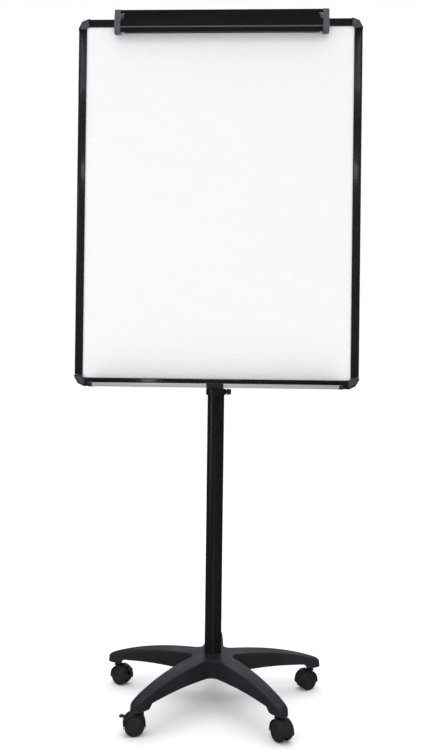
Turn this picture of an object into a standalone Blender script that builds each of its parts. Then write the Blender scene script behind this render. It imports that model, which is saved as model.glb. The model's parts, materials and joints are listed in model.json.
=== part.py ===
"""Mobile flipchart easel: a framed writing board with a sprung pad clamp and a pen tray, on a
height-adjustable column that stands on a five-star base with twin-wheel castors.

World frame: +Z up, the writing face looks along -Y, the board's width runs along X, and the
origin is on the floor under the middle of the object's box. All lengths are in metres.
"""

from math import cos, pi, radians, sin

import bmesh
import bpy
from mathutils import Matrix, Vector

GAP = 0.0003                    # left between pieces that touch
ROUND = 12                      # sides of a small round shape

# Column
COLUMN_Y = -0.0176              # column axis, behind the board and in front of the box's middle
OUTER_TUBE_R = 0.0210
OUTER_TUBE_BORE_R = 0.0198
OUTER_TUBE_TOP = 0.7600
INNER_TUBE_R = 0.0190
INNER_TUBE_BORE_R = 0.0178
INNER_TUBE_BOTTOM = 0.3300
INNER_TUBE_TOP = 1.3950
TUBE_SIDES = 24
COLLAR_R = 0.0245
COLLAR_BOTTOM = 0.7570
COLLAR_TOP = 0.7733
KNOB_Z = 0.7655
KNOB_R = 0.0076

# Star base
ARM_ANGLES = {"back": 90, "left": 162, "front_left": 234, "front_right": 306, "right": 18}
PIVOT_RADIUS = 0.263            # column axis to castor swivel axis
ARM_END_RADIUS = 0.287
HUB_TOP = 0.1134
HUB_RING_R = 0.0255             # the flat ring round the column
HUB_SHOULDER_R = 0.0545
HUB_FOOT_R = 0.0570
HUB_SIDES = 20
ARM_TOP_DROP = 0.0398
ARM_DROP_POWER = 2.7
HUB_UNDERSIDE = 0.0672
ARM_UNDERSIDE = 0.0650
ARM_ARCH = 0.0070
ARM_DRAFT = 0.0012              # an arm's sides lean in by this towards its top
ARM_SHOULDER = 0.0055
ARM_SHELL = 0.003
ARM_HALF_WIDTHS = ((0.0, 0.0268), (0.05, 0.0262), (0.10, 0.0245), (0.15, 0.0224), (0.20, 0.0204))
TIP_START = 0.2500              # the solid block that holds a castor's stem starts here
TIP_HALF_WIDTHS = ((TIP_START, 0.0186), (TIP_START + 0.003, 0.0184), (0.266, 0.0178),
                   (0.278, 0.0168), (0.285, 0.0140), (ARM_END_RADIUS, 0.0105))
TIP_UNDERSIDE = 0.0550
SOCKET_FLOOR = 0.0780           # the outer tube stands on it
BOLT_SEAT = 0.0730
HUB_BOLT_R = 0.0040
HUB_BOLT_TOP = 0.0820
STEM_BOSS_R = 0.0098
STEM_BOSS_BOTTOM = 0.0510
STEM_SOCKET_R = 0.0058
STEM_TOP = 0.0768

# Castors
WHEEL_R = 0.0225
WHEEL_SIDES = 20
WHEEL_INNER_Y = 0.0062
WHEEL_OUTER_Y = 0.0180
TRAIL = 0.0125                  # swivel axis to axle
HOOD_INNER_R = 0.0242
HOOD_OUTER_R = 0.0264
HOOD_HALF_WIDTH = 0.0168
HOOD_SPAN = (-14, 194)          # degrees round the axle, 0 behind the wheel
HOOD_STEPS = 10
HOOD_TOP = 0.0492
STEM_PIN_R = 0.0038
AXLE_R = 0.0030
AXLE_HALF_LENGTH = 0.0142
LEVER_PIVOT_R = 0.0150          # axle to lever pivot
LEVER_ANGLE = 36
CASTOR_HEADINGS = {"back": 200, "left": -32, "front_left": 190, "front_right": -57, "right": 214}
BRAKED = ("left", "front_left")

# Board frame. Depths are measured back from the frame's front plane.
FRAME_FRONT_Y = -0.045          # from the column axis
FRAME_DEPTH = 0.018
FRAME_WIDTH = 0.700
FRAME_BOTTOM = 0.776
FRAME_TOP = 1.685
RAIL_WIDTH = 0.021
CORNER_LEG = 0.0276
CORNER_BEND = 0.0055
CORNER_PROUD = 0.0006
PANEL_EDGE = 0.009              # frame outside to panel edge
PANEL_CHAMFER = 0.010
SHEET_FRONT = 0.0035
SHEET_THICKNESS = 0.0008
SHEET_REBATE = 0.0003           # the sheet's margin, which the rails hold, steps back by this
FACE_HALF_WIDTH = 0.3280
FACE_BOTTOM = 0.7985
FACE_TOP = 1.6375
PANEL_THICKNESS = 0.0110
SLOT_FRONT = 0.0032
SLOT_BACK = 0.0148
SLOT_DEPTH = 0.0178

# Pen tray. Distances are measured forward from the frame's front plane.
TRAY_HALF_LENGTH = 0.295
TRAY_CAP_LENGTH = 0.0097
TRAY_TOP = 0.7857
TRAY_LIP_FRONT = 0.0533
TRAY_BRACKET_HALF_WIDTH = 0.0200
BRACKET_SHEET = 0.0015

# Mast fittings behind the board
CROSSBAR_LEVELS = {"lower": 0.900, "upper": 1.320}
CROSSBAR_HALF_LENGTH = 0.345
CROSSBAR_HALF_HEIGHT = 0.015
CROSSBAR_FRONT_Y = -0.0267
CROSSBAR_BACK_Y = -0.0247
MAST_BOLT_R = 0.0040

# Pad clamp. Distances are measured forward from the frame's front plane.
CLAMP_X = 0.004
CLAMP_HALF_LENGTH = 0.2463
CLAMP_CAP_INNER = 0.2467
CLAMP_CAP_OUTER = 0.2615
HINGE_FORWARD = 0.0125
HINGE_Z = 1.679
HINGE_ROD_R = 0.0025
PIVOT_BOSS_R = 0.0095
PIVOT_BOSS_LENGTH = 0.0085
LUG_X = 0.200
HOOK_X = 0.140
HOOK_Z = 1.6665

FINISHES = {
    "black_aluminium": ((0.012, 0.012, 0.013), 0.25, 0.6),
    "black_paint": ((0.010, 0.011, 0.013), 0.35, 0.3),
    "base_nylon": ((0.016, 0.018, 0.024), 0.45, 0.0),
    "castor_nylon": ((0.014, 0.014, 0.015), 0.40, 0.0),
    "corner_plastic": ((0.018, 0.019, 0.020), 0.55, 0.0),
    "grey_plastic": ((0.095, 0.105, 0.115), 0.50, 0.0),
    "tray_grey": ((0.42, 0.42, 0.47), 0.35, 0.5),
    "white_enamel": ((0.86, 0.87, 0.89), 0.12, 0.0),
    "honeycomb": ((0.42, 0.33, 0.22), 0.90, 0.0),
    "back_grey": ((0.46, 0.47, 0.48), 0.40, 0.3),
    "rubber": ((0.020, 0.020, 0.020), 0.80, 0.0),
    "steel": ((0.55, 0.55, 0.56), 0.25, 1.0),
}


# ---------------------------------------------------------------- meshes

def finished_mesh(bm):
    """A mesh with merged points and outward normals, made from bm."""
    bmesh.ops.remove_doubles(bm, verts=bm.verts, dist=1e-6)
    bmesh.ops.recalc_face_normals(bm, faces=bm.faces)
    mesh = bpy.data.meshes.new("shape")
    bm.to_mesh(mesh)
    bm.free()
    return mesh


def loft(loops):
    """A closed solid through loops of points, with both end loops filled."""
    bm = bmesh.new()
    rings = [[bm.verts.new(point) for point in loop] for loop in loops]
    count = len(rings[0])
    for low, high in zip(rings, rings[1:]):
        for i in range(count):
            j = (i + 1) % count
            bm.faces.new((low[i], low[j], high[j], high[i]))
    bm.faces.new(rings[0])
    bm.faces.new(rings[-1])
    return finished_mesh(bm)


def prism(outline, low, high, axis):
    """An outline pushed along an axis. It holds (y, z) for X, (x, z) for Y and (x, y) for Z."""
    def point(u, v, w):
        return {"X": (w, u, v), "Y": (u, w, v), "Z": (u, v, w)}[axis]
    return loft([[point(u, v, w) for u, v in outline] for w in (low, high)])


def circle(radius, sides, centre=(0.0, 0.0)):
    turns = [2 * pi * (i + 0.5) / sides for i in range(sides)]
    return [(centre[0] + radius * cos(t), centre[1] + radius * sin(t)) for t in turns]


def box(low, high):
    outline = [(low[0], low[1]), (high[0], low[1]), (high[0], high[1]), (low[0], high[1])]
    return prism(outline, low[2], high[2], "Z")


def lathe(profile, sides, axis="Z"):
    """Turns a closed profile of (radius, height) about an axis."""
    bm = bmesh.new()
    rings = []
    for radius, height in profile:
        if radius == 0:
            rings.append([bm.verts.new((0, 0, height))] * sides)
        else:
            rings.append([bm.verts.new((x, y, height)) for x, y in circle(radius, sides)])
    for low, high in zip(rings, rings[1:] + rings[:1]):
        for i in range(sides):
            j = (i + 1) % sides
            corners = list(dict.fromkeys((low[i], low[j], high[j], high[i])))
            if len(corners) > 2:
                bm.faces.new(corners)
    if axis == "Y":
        bm.transform(Matrix.Rotation(-pi / 2, 4, "X"))
    elif axis == "X":
        bm.transform(Matrix.Rotation(pi / 2, 4, "Y"))
    return finished_mesh(bm)


def moved(mesh, offset=(0, 0, 0), turn=0.0, axis="Z"):
    """The mesh, turned about an axis through the origin and then shifted."""
    mesh.transform(Matrix.Translation(offset) @ Matrix.Rotation(turn, 4, axis))
    return mesh


def bevelled(mesh, width, segments, chosen):
    """Rounds the edges whose two end points both satisfy chosen."""
    bm = bmesh.new()
    bm.from_mesh(mesh)
    edges = [e for e in bm.edges if e.is_manifold and all(chosen(v.co) for v in e.verts)
             and e.calc_face_angle() > radians(20)]
    bmesh.ops.bevel(bm, geom=edges, offset=width, segments=segments, profile=0.5,
                    affect="EDGES", clamp_overlap=True)
    return finished_mesh(bm)


def combined(mesh, operation, tools):
    """The mesh after an exact Boolean with each of the tools."""
    for tool in tools:
        target = bpy.data.objects.new("target", mesh)
        cutter = bpy.data.objects.new("cutter", tool)
        for obj in (target, cutter):
            bpy.context.scene.collection.objects.link(obj)
        modifier = target.modifiers.new("Boolean", "BOOLEAN")
        modifier.operation = operation
        modifier.object = cutter
        graph = bpy.context.evaluated_depsgraph_get()
        mesh = bpy.data.meshes.new_from_object(target.evaluated_get(graph))
        for obj in (target, cutter):
            bpy.data.objects.remove(obj)
    return mesh


def joined(mesh, *tools):
    return combined(mesh, "UNION", tools)


def cut(mesh, *tools):
    return combined(mesh, "DIFFERENCE", tools)


# ---------------------------------------------------------------- objects

def make_material(name, finish):
    colour, roughness, metallic = FINISHES[finish]
    material = bpy.data.materials.new(name)
    material.use_nodes = True
    shader = material.node_tree.nodes["Principled BSDF"]
    shader.inputs["Base Color"].default_value = (*colour, 1.0)
    shader.inputs["Roughness"].default_value = roughness
    shader.inputs["Metallic"].default_value = metallic
    return material


def place(name, mesh, finish, parent, location=(0, 0, 0), heading=0.0):
    """Adds a named piece under its parent, turned by heading degrees about Z."""
    mesh = mesh.copy()
    mesh.name = name
    mesh.materials.clear()
    mesh.materials.append(make_material(name, finish))
    mesh.shade_smooth()
    mesh.set_sharp_from_angle(angle=radians(35))
    obj = bpy.data.objects.new(name, mesh)
    bpy.context.scene.collection.objects.link(obj)
    obj.parent = parent
    obj.location = location
    obj.rotation_euler.z = radians(heading)
    return obj


def add_empty(name, location, parent=None, heading=0.0):
    empty = bpy.data.objects.new(name, None)
    empty.empty_display_size = 0.05
    bpy.context.scene.collection.objects.link(empty)
    empty.parent = parent
    empty.location = location
    empty.rotation_euler.z = radians(heading)
    return empty


# ---------------------------------------------------------------- star base and column

def arm_top(radius):
    return HUB_TOP - ARM_TOP_DROP * (radius / ARM_END_RADIUS) ** ARM_DROP_POWER


def arm_bottom(radius):
    if radius > TIP_START:
        return TIP_UNDERSIDE
    return max(HUB_UNDERSIDE + 0.0006, ARM_UNDERSIDE + ARM_ARCH * sin(pi * radius / TIP_START))


def arm_loop(radius, half_width, top, bottom):
    """A section across an arm that points along +X, with a shallow crown and rounded shoulders."""
    upper = half_width - ARM_DRAFT
    side = [(half_width, bottom), (upper, top - ARM_SHOULDER), (0.86 * upper, top - 0.0012)]
    right = [(radius, y, z) for y, z in side]
    left = [(radius, -y, z) for y, z in reversed(side)]
    return right + [(radius, 0.0, top)] + left


def arm_body():
    return loft([arm_loop(r, w, arm_top(r), arm_bottom(r))
                 for r, w in ARM_HALF_WIDTHS + TIP_HALF_WIDTHS])


def arm_hollow():
    """The space under an arm, open downwards, from inside the hub to the block at the tip."""
    stations = [(0.044, 0.0260), *ARM_HALF_WIDTHS[2:], (TIP_START - 0.004, 0.0186)]
    return loft([arm_loop(r, w - ARM_SHELL, arm_top(r) - ARM_SHELL, 0.040) for r, w in stations])


def hub_body():
    bottom = HUB_UNDERSIDE
    top = HUB_TOP + 0.002
    return lathe([(0, bottom), (HUB_FOOT_R, bottom), (HUB_FOOT_R - 0.0015, bottom + 0.008),
                  (HUB_SHOULDER_R, top - 0.0075), (HUB_SHOULDER_R - 0.004, top - 0.0030),
                  (HUB_RING_R + 0.001, top - 0.001), (HUB_RING_R, top), (0, top)], HUB_SIDES)


def star_base_mesh():
    turns = [radians(angle) for angle in ARM_ANGLES.values()]
    boss = circle(STEM_BOSS_R, ROUND, (PIVOT_RADIUS, 0))
    socket = circle(STEM_SOCKET_R, ROUND, (PIVOT_RADIUS, 0))
    solid = hub_body()
    for turn in turns:
        arm = joined(arm_body(), prism(boss, STEM_BOSS_BOTTOM, 0.066, "Z"))
        solid = joined(solid, moved(arm, turn=turn))
    for turn in turns:
        hollow = moved(arm_hollow(), turn=turn)
        hole = moved(prism(socket, 0.040, STEM_TOP + GAP, "Z"), turn=turn)
        solid = cut(solid, hollow, hole)
    column_socket = prism(circle(OUTER_TUBE_R + GAP, TUBE_SIDES), SOCKET_FLOOR, 0.130, "Z")
    bolt_hole = prism(circle(HUB_BOLT_R + GAP, ROUND), 0.050, 0.085, "Z")
    head_room = prism(circle(0.0100, ROUND), 0.050, BOLT_SEAT, "Z")
    return cut(solid, column_socket, bolt_hole, head_room)


def outer_tube_mesh():
    foot = SOCKET_FLOOR + GAP
    hole = HUB_BOLT_R + GAP
    profile = [(hole, foot), (OUTER_TUBE_R, foot), (OUTER_TUBE_R, OUTER_TUBE_TOP),
               (OUTER_TUBE_BORE_R, OUTER_TUBE_TOP), (OUTER_TUBE_BORE_R, foot + 0.004),
               (hole, foot + 0.004)]
    return lathe(profile, TUBE_SIDES)


def hub_bolt_mesh():
    head = prism(circle(0.0072, 6), BOLT_SEAT - 0.0058, BOLT_SEAT - GAP, "Z")
    return joined(head, prism(circle(HUB_BOLT_R, ROUND), BOLT_SEAT - 0.001, HUB_BOLT_TOP, "Z"))


def collar_mesh():
    ring = lathe([(OUTER_TUBE_R + GAP, COLLAR_BOTTOM), (COLLAR_R, COLLAR_BOTTOM),
                  (COLLAR_R, COLLAR_TOP - 0.001), (COLLAR_R - 0.001, COLLAR_TOP),
                  (INNER_TUBE_R + GAP, COLLAR_TOP), (INNER_TUBE_R + GAP, OUTER_TUBE_TOP + GAP),
                  (OUTER_TUBE_R + GAP, OUTER_TUBE_TOP + GAP)], TUBE_SIDES)
    boss = prism(circle(0.0052, ROUND, (0, KNOB_Z)), 0.0225, 0.0262, "X")
    stud_hole = prism(circle(0.0033, ROUND, (0, KNOB_Z)), 0.0150, 0.0300, "X")
    return cut(joined(ring, boss), stud_hole)


def knob_mesh():
    """A six-lobed knob with its stud, turned about X through its own origin."""
    lobes = []
    for i in range(24):
        turn = 2 * pi * i / 24
        radius = KNOB_R - 0.0011 * (1 - cos(6 * turn)) / 2
        lobes.append((radius * cos(turn), radius * sin(turn)))
    scaled = [(0.0280, 0.86), (0.0290, 1.0), (0.0362, 1.0), (0.0378, 0.80)]
    head = loft([[(x, k * y, k * z) for y, z in lobes] for x, k in scaled])
    stud = prism(circle(0.0030, ROUND), INNER_TUBE_R + 2 * GAP, 0.0300, "X")
    neck = prism(circle(0.0045, ROUND), 0.0265, 0.0290, "X")
    return joined(head, neck, stud)


def inner_tube_mesh():
    tube = lathe([(INNER_TUBE_BORE_R, INNER_TUBE_BOTTOM), (INNER_TUBE_R, INNER_TUBE_BOTTOM),
                  (INNER_TUBE_R, INNER_TUBE_TOP), (INNER_TUBE_BORE_R, INNER_TUBE_TOP)],
                 TUBE_SIDES)
    holes = [prism(circle(MAST_BOLT_R + GAP, ROUND, (0, z)), -0.03, 0.03, "Y")
             for z in CROSSBAR_LEVELS.values()]
    return cut(tube, *holes)


def guide_bush_mesh():
    flange = OUTER_TUBE_BORE_R - GAP
    spigot = INNER_TUBE_BORE_R - GAP
    shelf = INNER_TUBE_BOTTOM - GAP
    return lathe([(0.012, shelf - 0.030), (flange, shelf - 0.030), (flange, shelf),
                  (spigot, shelf), (spigot, shelf + 0.020), (0.012, shelf + 0.020)], TUBE_SIDES)


def top_cap_mesh():
    seat = INNER_TUBE_TOP + GAP
    spigot = INNER_TUBE_BORE_R - GAP
    return lathe([(0, seat - 0.016), (spigot, seat - 0.016), (spigot, seat), (0.0203, seat),
                  (0.0203, seat + 0.003), (0.0185, seat + 0.005), (0, seat + 0.0055)], TUBE_SIDES)


def add_column(axis, mast):
    place("star_base", star_base_mesh(), "base_nylon", axis)
    place("outer_tube", outer_tube_mesh(), "black_paint", axis)
    place("hub_bolt", hub_bolt_mesh(), "steel", axis)
    place("height_collar", collar_mesh(), "corner_plastic", axis)
    place("height_knob", knob_mesh(), "corner_plastic", axis, (0, 0, KNOB_Z))
    place("guide_bush", guide_bush_mesh(), "grey_plastic", mast)
    place("inner_tube", inner_tube_mesh(), "black_paint", mast)
    place("mast_top_cap", top_cap_mesh(), "corner_plastic", mast)


# ---------------------------------------------------------------- castors

def hood_arc(inner_radius, thickness=0.0):
    """Points round the axle. The thickness fades out towards the two ends of the arc."""
    first, last = HOOD_SPAN
    points = []
    for i in range(HOOD_STEPS + 1):
        turn = radians(first + (last - first) * i / HOOD_STEPS)
        radius = inner_radius + thickness * min(1.0, 0.25 + 0.5 * min(i, HOOD_STEPS - i))
        points.append((TRAIL + radius * cos(turn), WHEEL_R + radius * sin(turn)))
    return points


def hood_mesh():
    """The fender over both wheels, the web between them, the swivel housing and the axle."""
    shell = HOOD_OUTER_R - HOOD_INNER_R
    fender = loft([[(x, y, z) for x, z in hood_arc(HOOD_INNER_R, shell * fullness)
                    + hood_arc(HOOD_INNER_R)[::-1]]
                   for y, fullness in ((-HOOD_HALF_WIDTH, 0.3), (-0.0130, 1), (0.0130, 1),
                                       (HOOD_HALF_WIDTH, 0.3))])
    web = prism(hood_arc(HOOD_INNER_R + 0.0004), -0.0030, 0.0030, "Y")
    centre = (TRAIL, WHEEL_R)
    hub = prism(circle(0.0070, ROUND, centre), -0.0045, 0.0045, "Y")
    axle = prism(circle(AXLE_R, ROUND, centre), -AXLE_HALF_LENGTH, AXLE_HALF_LENGTH, "Y")
    housing = prism(circle(0.0056, ROUND), 0.0280, HOOD_TOP - 0.001, "Z")
    seat = lathe([(0, 0.0458), (0.0090, 0.0458), (0.0085, HOOD_TOP), (0, HOOD_TOP)], 16)
    bore = prism(circle(STEM_PIN_R + GAP, ROUND), 0.0310, 0.0600, "Z")
    return cut(joined(fender, web, hub, axle, housing, seat), bore)


def lever_room():
    """The slot that a brake lever moves in, through the fender and the web."""
    turns = [radians(14 + 44 * i / 4) for i in range(5)]
    outer = [(TRAIL + 0.0290 * cos(t), WHEEL_R + 0.0290 * sin(t)) for t in turns]
    inner = [(TRAIL + 0.0105 * cos(t), WHEEL_R + 0.0105 * sin(t)) for t in reversed(turns)]
    return prism(outer + inner, -0.0058, 0.0058, "Y")


def stem_mesh():
    flange_bottom, flange_top = HOOD_TOP + GAP, STEM_BOSS_BOTTOM - GAP
    return lathe([(0, 0.0320), (STEM_PIN_R, 0.0320), (STEM_PIN_R, flange_bottom),
                  (0.0078, flange_bottom), (0.0078, flange_top), (0.0055, flange_top),
                  (0.0055, STEM_TOP - 0.001), (0.0045, STEM_TOP), (0, STEM_TOP)], ROUND)


def wheel_mesh():
    """A dished wheel about Y through its own origin, its closed face at +Y."""
    tread = WHEEL_R / cos(pi / WHEEL_SIDES)
    inner, outer = WHEEL_INNER_Y, WHEEL_OUTER_Y
    profile = [(0, outer), (0.0180, outer - 0.0005), (tread - 0.0007, outer - 0.0028),
               (tread, outer - 0.0048), (tread, inner + 0.0014), (tread - 0.0010, inner),
               (0.0185, inner), (0.0185, 0.0140), (0.0062, 0.0140), (0.0062, inner),
               (0.0034, inner), (0.0034, 0.0150), (0, 0.0150)]
    return lathe(profile[::-1], WHEEL_SIDES, "Y")


def lever_mesh():
    """A brake lever about Y through its pivot, pointing up and out at rest."""
    side = [(-0.0030, -0.0022), (0.0040, -0.0024), (0.0120, -0.0006), (0.0180, -0.0014),
            (0.0226, -0.0040), (0.0246, -0.0040), (0.0240, -0.0006), (0.0200, 0.0020),
            (0.0150, 0.0034), (0.0100, 0.0032), (0.0040, 0.0018), (-0.0030, 0.0022)]
    flat = prism(side, -0.0050, 0.0050, "Y")
    return moved(flat, turn=-radians(LEVER_ANGLE), axis="Y")


def add_castors(axis):
    hood = hood_mesh()
    braked_hood = cut(hood.copy(), lever_room())
    lever_turn = radians(LEVER_ANGLE)
    lever_at = (TRAIL + LEVER_PIVOT_R * cos(lever_turn), 0,
                WHEEL_R + LEVER_PIVOT_R * sin(lever_turn))
    stem, wheel, lever = stem_mesh(), wheel_mesh(), lever_mesh()
    for corner, angle in ARM_ANGLES.items():
        pivot = (PIVOT_RADIUS * cos(radians(angle)), PIVOT_RADIUS * sin(radians(angle)), 0)
        place(f"castor_stem_{corner}", stem, "steel", axis, pivot)
        swivel = add_empty(f"castor_{corner}_swivel", pivot, axis, CASTOR_HEADINGS[corner])
        shell = braked_hood if corner in BRAKED else hood
        place(f"castor_hood_{corner}", shell, "castor_nylon", swivel)
        place(f"wheel_{corner}_a", wheel, "castor_nylon", swivel, (TRAIL, 0, WHEEL_R))
        place(f"wheel_{corner}_b", wheel, "castor_nylon", swivel, (TRAIL, 0, WHEEL_R), 180)
        if corner in BRAKED:
            place(f"brake_lever_{corner}", lever, "castor_nylon", swivel, lever_at)


# ---------------------------------------------------------------- board

def rail_section():
    """(across from the inner edge, depth): a rounded face and a slot that grips the panel."""
    w, d = RAIL_WIDTH, FRAME_DEPTH
    return [(0, 0.0016), (0.0022, 0.0005), (0.0095, 0), (0.0158, 0.0006), (0.0196, 0.0030),
            (w, 0.0072), (w, d - 0.0012), (w - 0.0012, d), (0, d), (0, SLOT_BACK),
            (SLOT_DEPTH, SLOT_BACK), (SLOT_DEPTH, SLOT_FRONT), (0, SLOT_FRONT)]


def add_rails(mast):
    half = FRAME_WIDTH / 2
    for name, sign in (("left", -1), ("right", 1)):
        inner = sign * (half - RAIL_WIDTH)
        outline = [(inner + sign * u, FRAME_FRONT_Y + v) for u, v in rail_section()]
        rail = prism(outline, FRAME_BOTTOM + CORNER_LEG + GAP, FRAME_TOP - CORNER_LEG - GAP, "Z")
        place(f"frame_rail_{name}", rail, "black_aluminium", mast)
    levels = {"bottom": (FRAME_BOTTOM + RAIL_WIDTH, -1), "top": (FRAME_TOP - RAIL_WIDTH, 1)}
    reach = half - CORNER_LEG - GAP
    for name, (inner, sign) in levels.items():
        outline = [(FRAME_FRONT_Y + v, inner + sign * u) for u, v in rail_section()]
        place(f"frame_rail_{name}", prism(outline, -reach, reach, "X"), "black_aluminium", mast)


def panel_outline(grow):
    """The panel's outline with chamfered corners, grown by a clearance."""
    x = FRAME_WIDTH / 2 - PANEL_EDGE + grow
    low, high = FRAME_BOTTOM + PANEL_EDGE - grow, FRAME_TOP - PANEL_EDGE + grow
    c = PANEL_CHAMFER
    return [(x - c, low), (x, low + c), (x, high - c), (x - c, high),
            (-x + c, high), (-x, high - c), (-x, low + c), (-x + c, low)]


def corner_outline():
    """(across, up) from the frame's outer corner, for the lower left corner piece."""
    p, leg = CORNER_PROUD, CORNER_LEG
    inner = RAIL_WIDTH + 0.0004
    turn = inner + CORNER_BEND
    bend = [(turn - CORNER_BEND * sin(t), turn - CORNER_BEND * cos(t))
            for t in (0, radians(30), radians(60), radians(90))]
    return [(-p, leg), (-p, 0.0222), (0.0086, 0.0066), (0.0238, -p), (leg, -p),
            (leg, inner)] + bend + [(inner, leg)]


def add_corners(mast):
    slot = prism(panel_outline(GAP), FRAME_FRONT_Y + SLOT_FRONT, FRAME_FRONT_Y + SLOT_BACK, "Y")
    front = FRAME_FRONT_Y - 0.0008
    back = FRAME_FRONT_Y + FRAME_DEPTH + 0.0006
    rows = (("bottom", FRAME_BOTTOM, 1), ("top", FRAME_TOP, -1))
    for side, sign in (("left", -1), ("right", 1)):
        for row, level, up in rows:
            outline = [(sign * (FRAME_WIDTH / 2 - a), level + up * b) for a, b in corner_outline()]
            block = prism(outline, front, back, "Y")
            block = bevelled(block, 0.0022, 2, lambda point: point.y < front + 1e-5)
            block = cut(block, slot.copy())
            place(f"frame_corner_{row}_{side}", block, "corner_plastic", mast)


def sheet_mesh(front):
    """The white sheet, whose face stands a little proud of the margin that the frame holds."""
    margin = prism(panel_outline(0), front + SHEET_REBATE, front + SHEET_THICKNESS, "Y")
    x, c = FACE_HALF_WIDTH, PANEL_CHAMFER
    face = [(x - c, FACE_BOTTOM), (x, FACE_BOTTOM + c), (x, FACE_TOP), (-x, FACE_TOP),
            (-x, FACE_BOTTOM + c), (-x + c, FACE_BOTTOM)]
    middle = prism(face, front, front + (SHEET_REBATE + SHEET_THICKNESS) / 2, "Y")
    return joined(margin, middle)


def add_panel(mast):
    front = FRAME_FRONT_Y + SHEET_FRONT
    back = front + PANEL_THICKNESS
    core = prism(panel_outline(0), front + SHEET_THICKNESS + GAP,
                 back - SHEET_THICKNESS - GAP, "Y")
    backing = prism(panel_outline(0), back - SHEET_THICKNESS, back, "Y")
    place("writing_surface", sheet_mesh(front), "white_enamel", mast)
    place("board_core", core, "honeycomb", mast)
    place("back_sheet", backing, "back_grey", mast)


def forward(points):
    """Section points of (distance forward, z) as (y, z)."""
    return [(FRAME_FRONT_Y - d, z) for d, z in points]


def add_tray(mast):
    bottom = FRAME_BOTTOM
    floor = bottom + 0.0016
    front = TRAY_LIP_FRONT
    section = [(GAP, TRAY_TOP), (0.0018, TRAY_TOP), (0.0018, floor), (0.0470, floor),
               (0.0495, floor + 0.0018), (0.0513, TRAY_TOP), (front - 0.0004, TRAY_TOP),
               (front, TRAY_TOP - 0.0014), (front - 0.0010, bottom + 0.0030),
               (front - 0.0042, bottom), (GAP, bottom)]
    tray = prism(forward(section), -TRAY_HALF_LENGTH, TRAY_HALF_LENGTH, "X")
    place("pen_tray", tray, "tray_grey", mast)
    cap = [(GAP, TRAY_TOP + 0.0006), (front + 0.0006, TRAY_TOP + 0.0006),
           (front - 0.0004, bottom + 0.0026), (front - 0.0042, bottom - 0.0006),
           (GAP, bottom - 0.0006)]
    start = TRAY_HALF_LENGTH + GAP
    for side, sign in (("left", -1), ("right", 1)):
        ends = sorted((sign * start, sign * (start + TRAY_CAP_LENGTH)))
        place(f"tray_end_cap_{side}", prism(forward(cap), *ends, "X"), "corner_plastic", mast)


# ---------------------------------------------------------------- mast fittings

def tray_bracket_mesh():
    """A bent strip from the lower crossbar, under the frame and up the tray's front lip."""
    leg_front = CROSSBAR_BACK_Y + GAP
    leg_back = leg_front + BRACKET_SHEET
    shelf_top = FRAME_BOTTOM - GAP
    shelf_bottom = shelf_top - BRACKET_SHEET
    lip_back = FRAME_FRONT_Y - TRAY_LIP_FRONT - GAP
    lip_front = lip_back - BRACKET_SHEET
    lip_top = TRAY_TOP + 0.0006
    leg_top = CROSSBAR_LEVELS["lower"] + 0.022
    outline = [(leg_back, shelf_bottom), (leg_back, leg_top), (leg_front, leg_top),
               (leg_front, shelf_top), (lip_back, shelf_top), (lip_back, lip_top),
               (lip_front, lip_top), (lip_front, shelf_bottom)]
    half = TRAY_BRACKET_HALF_WIDTH
    strip = prism(outline, -half, half, "X")
    hole = prism(circle(MAST_BOLT_R + GAP, ROUND, (0, CROSSBAR_LEVELS["lower"])),
                 leg_front - 0.005, leg_back + 0.005, "Y")
    return cut(strip, hole)


def crossbar_mesh(level):
    x, h, c = CROSSBAR_HALF_LENGTH, CROSSBAR_HALF_HEIGHT, 0.004
    outline = [(x - c, level - h), (x, level - h + c), (x, level + h - c), (x - c, level + h),
               (-x + c, level + h), (-x, level + h - c), (-x, level - h + c), (-x + c, level - h)]
    bar = prism(outline, CROSSBAR_FRONT_Y, CROSSBAR_BACK_Y, "Y")
    hole = prism(circle(MAST_BOLT_R + GAP, ROUND, (0, level)), -0.035, -0.015, "Y")
    return cut(bar, hole)


def saddle_mesh(level, front):
    """A block with a round seat for the mast."""
    block = box((-0.022, front, level - 0.020), (0.022, -0.010, level + 0.020))
    seat = prism(circle(INNER_TUBE_R + GAP, TUBE_SIDES), level - 0.03, level + 0.03, "Z")
    hole = prism(circle(MAST_BOLT_R + GAP, ROUND, (0, level)), -0.035, 0.0, "Y")
    return cut(block, seat, hole)


def mast_bolt_mesh(level):
    """A bolt through the mast, with its nut between the crossbar and the board."""
    shank = prism(circle(MAST_BOLT_R, ROUND, (0, level)), -0.0290, 0.0200, "Y")
    nut = prism(circle(0.0068, 6, (0, level)), -0.0300, CROSSBAR_FRONT_Y - GAP, "Y")
    head = moved(lathe([(0, 0.0193), (0.0075, 0.0193), (0.0072, 0.0220), (0.0050, 0.0240),
                        (0, 0.0246)], ROUND, "Y"), (0, 0, level))
    return joined(shank, nut, head)


def add_mast_fittings(mast):
    place("tray_bracket", tray_bracket_mesh(), "black_paint", mast)
    fronts = {"lower": CROSSBAR_BACK_Y + BRACKET_SHEET + 2 * GAP, "upper": CROSSBAR_BACK_Y + GAP}
    for row, level in CROSSBAR_LEVELS.items():
        place(f"crossbar_{row}", crossbar_mesh(level), "black_paint", mast)
        place(f"mast_saddle_{row}", saddle_mesh(level, fronts[row]), "corner_plastic", mast)
        place(f"mast_bolt_{row}", mast_bolt_mesh(level), "steel", mast)


# ---------------------------------------------------------------- pad clamp

def clamp_rail_mesh():
    plate_front, plate_bottom, plate_top = 0.0023, 1.6600, 1.6945
    over = FRAME_TOP + GAP
    section = [(plate_front, plate_bottom), (plate_front, plate_top), (GAP, plate_top),
               (GAP, over + 0.0017), (-0.0150, over + 0.0017), (-0.0150, over), (GAP, over),
               (GAP, plate_bottom)]
    return prism(forward(section), -CLAMP_HALF_LENGTH, CLAMP_HALF_LENGTH, "X")


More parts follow.
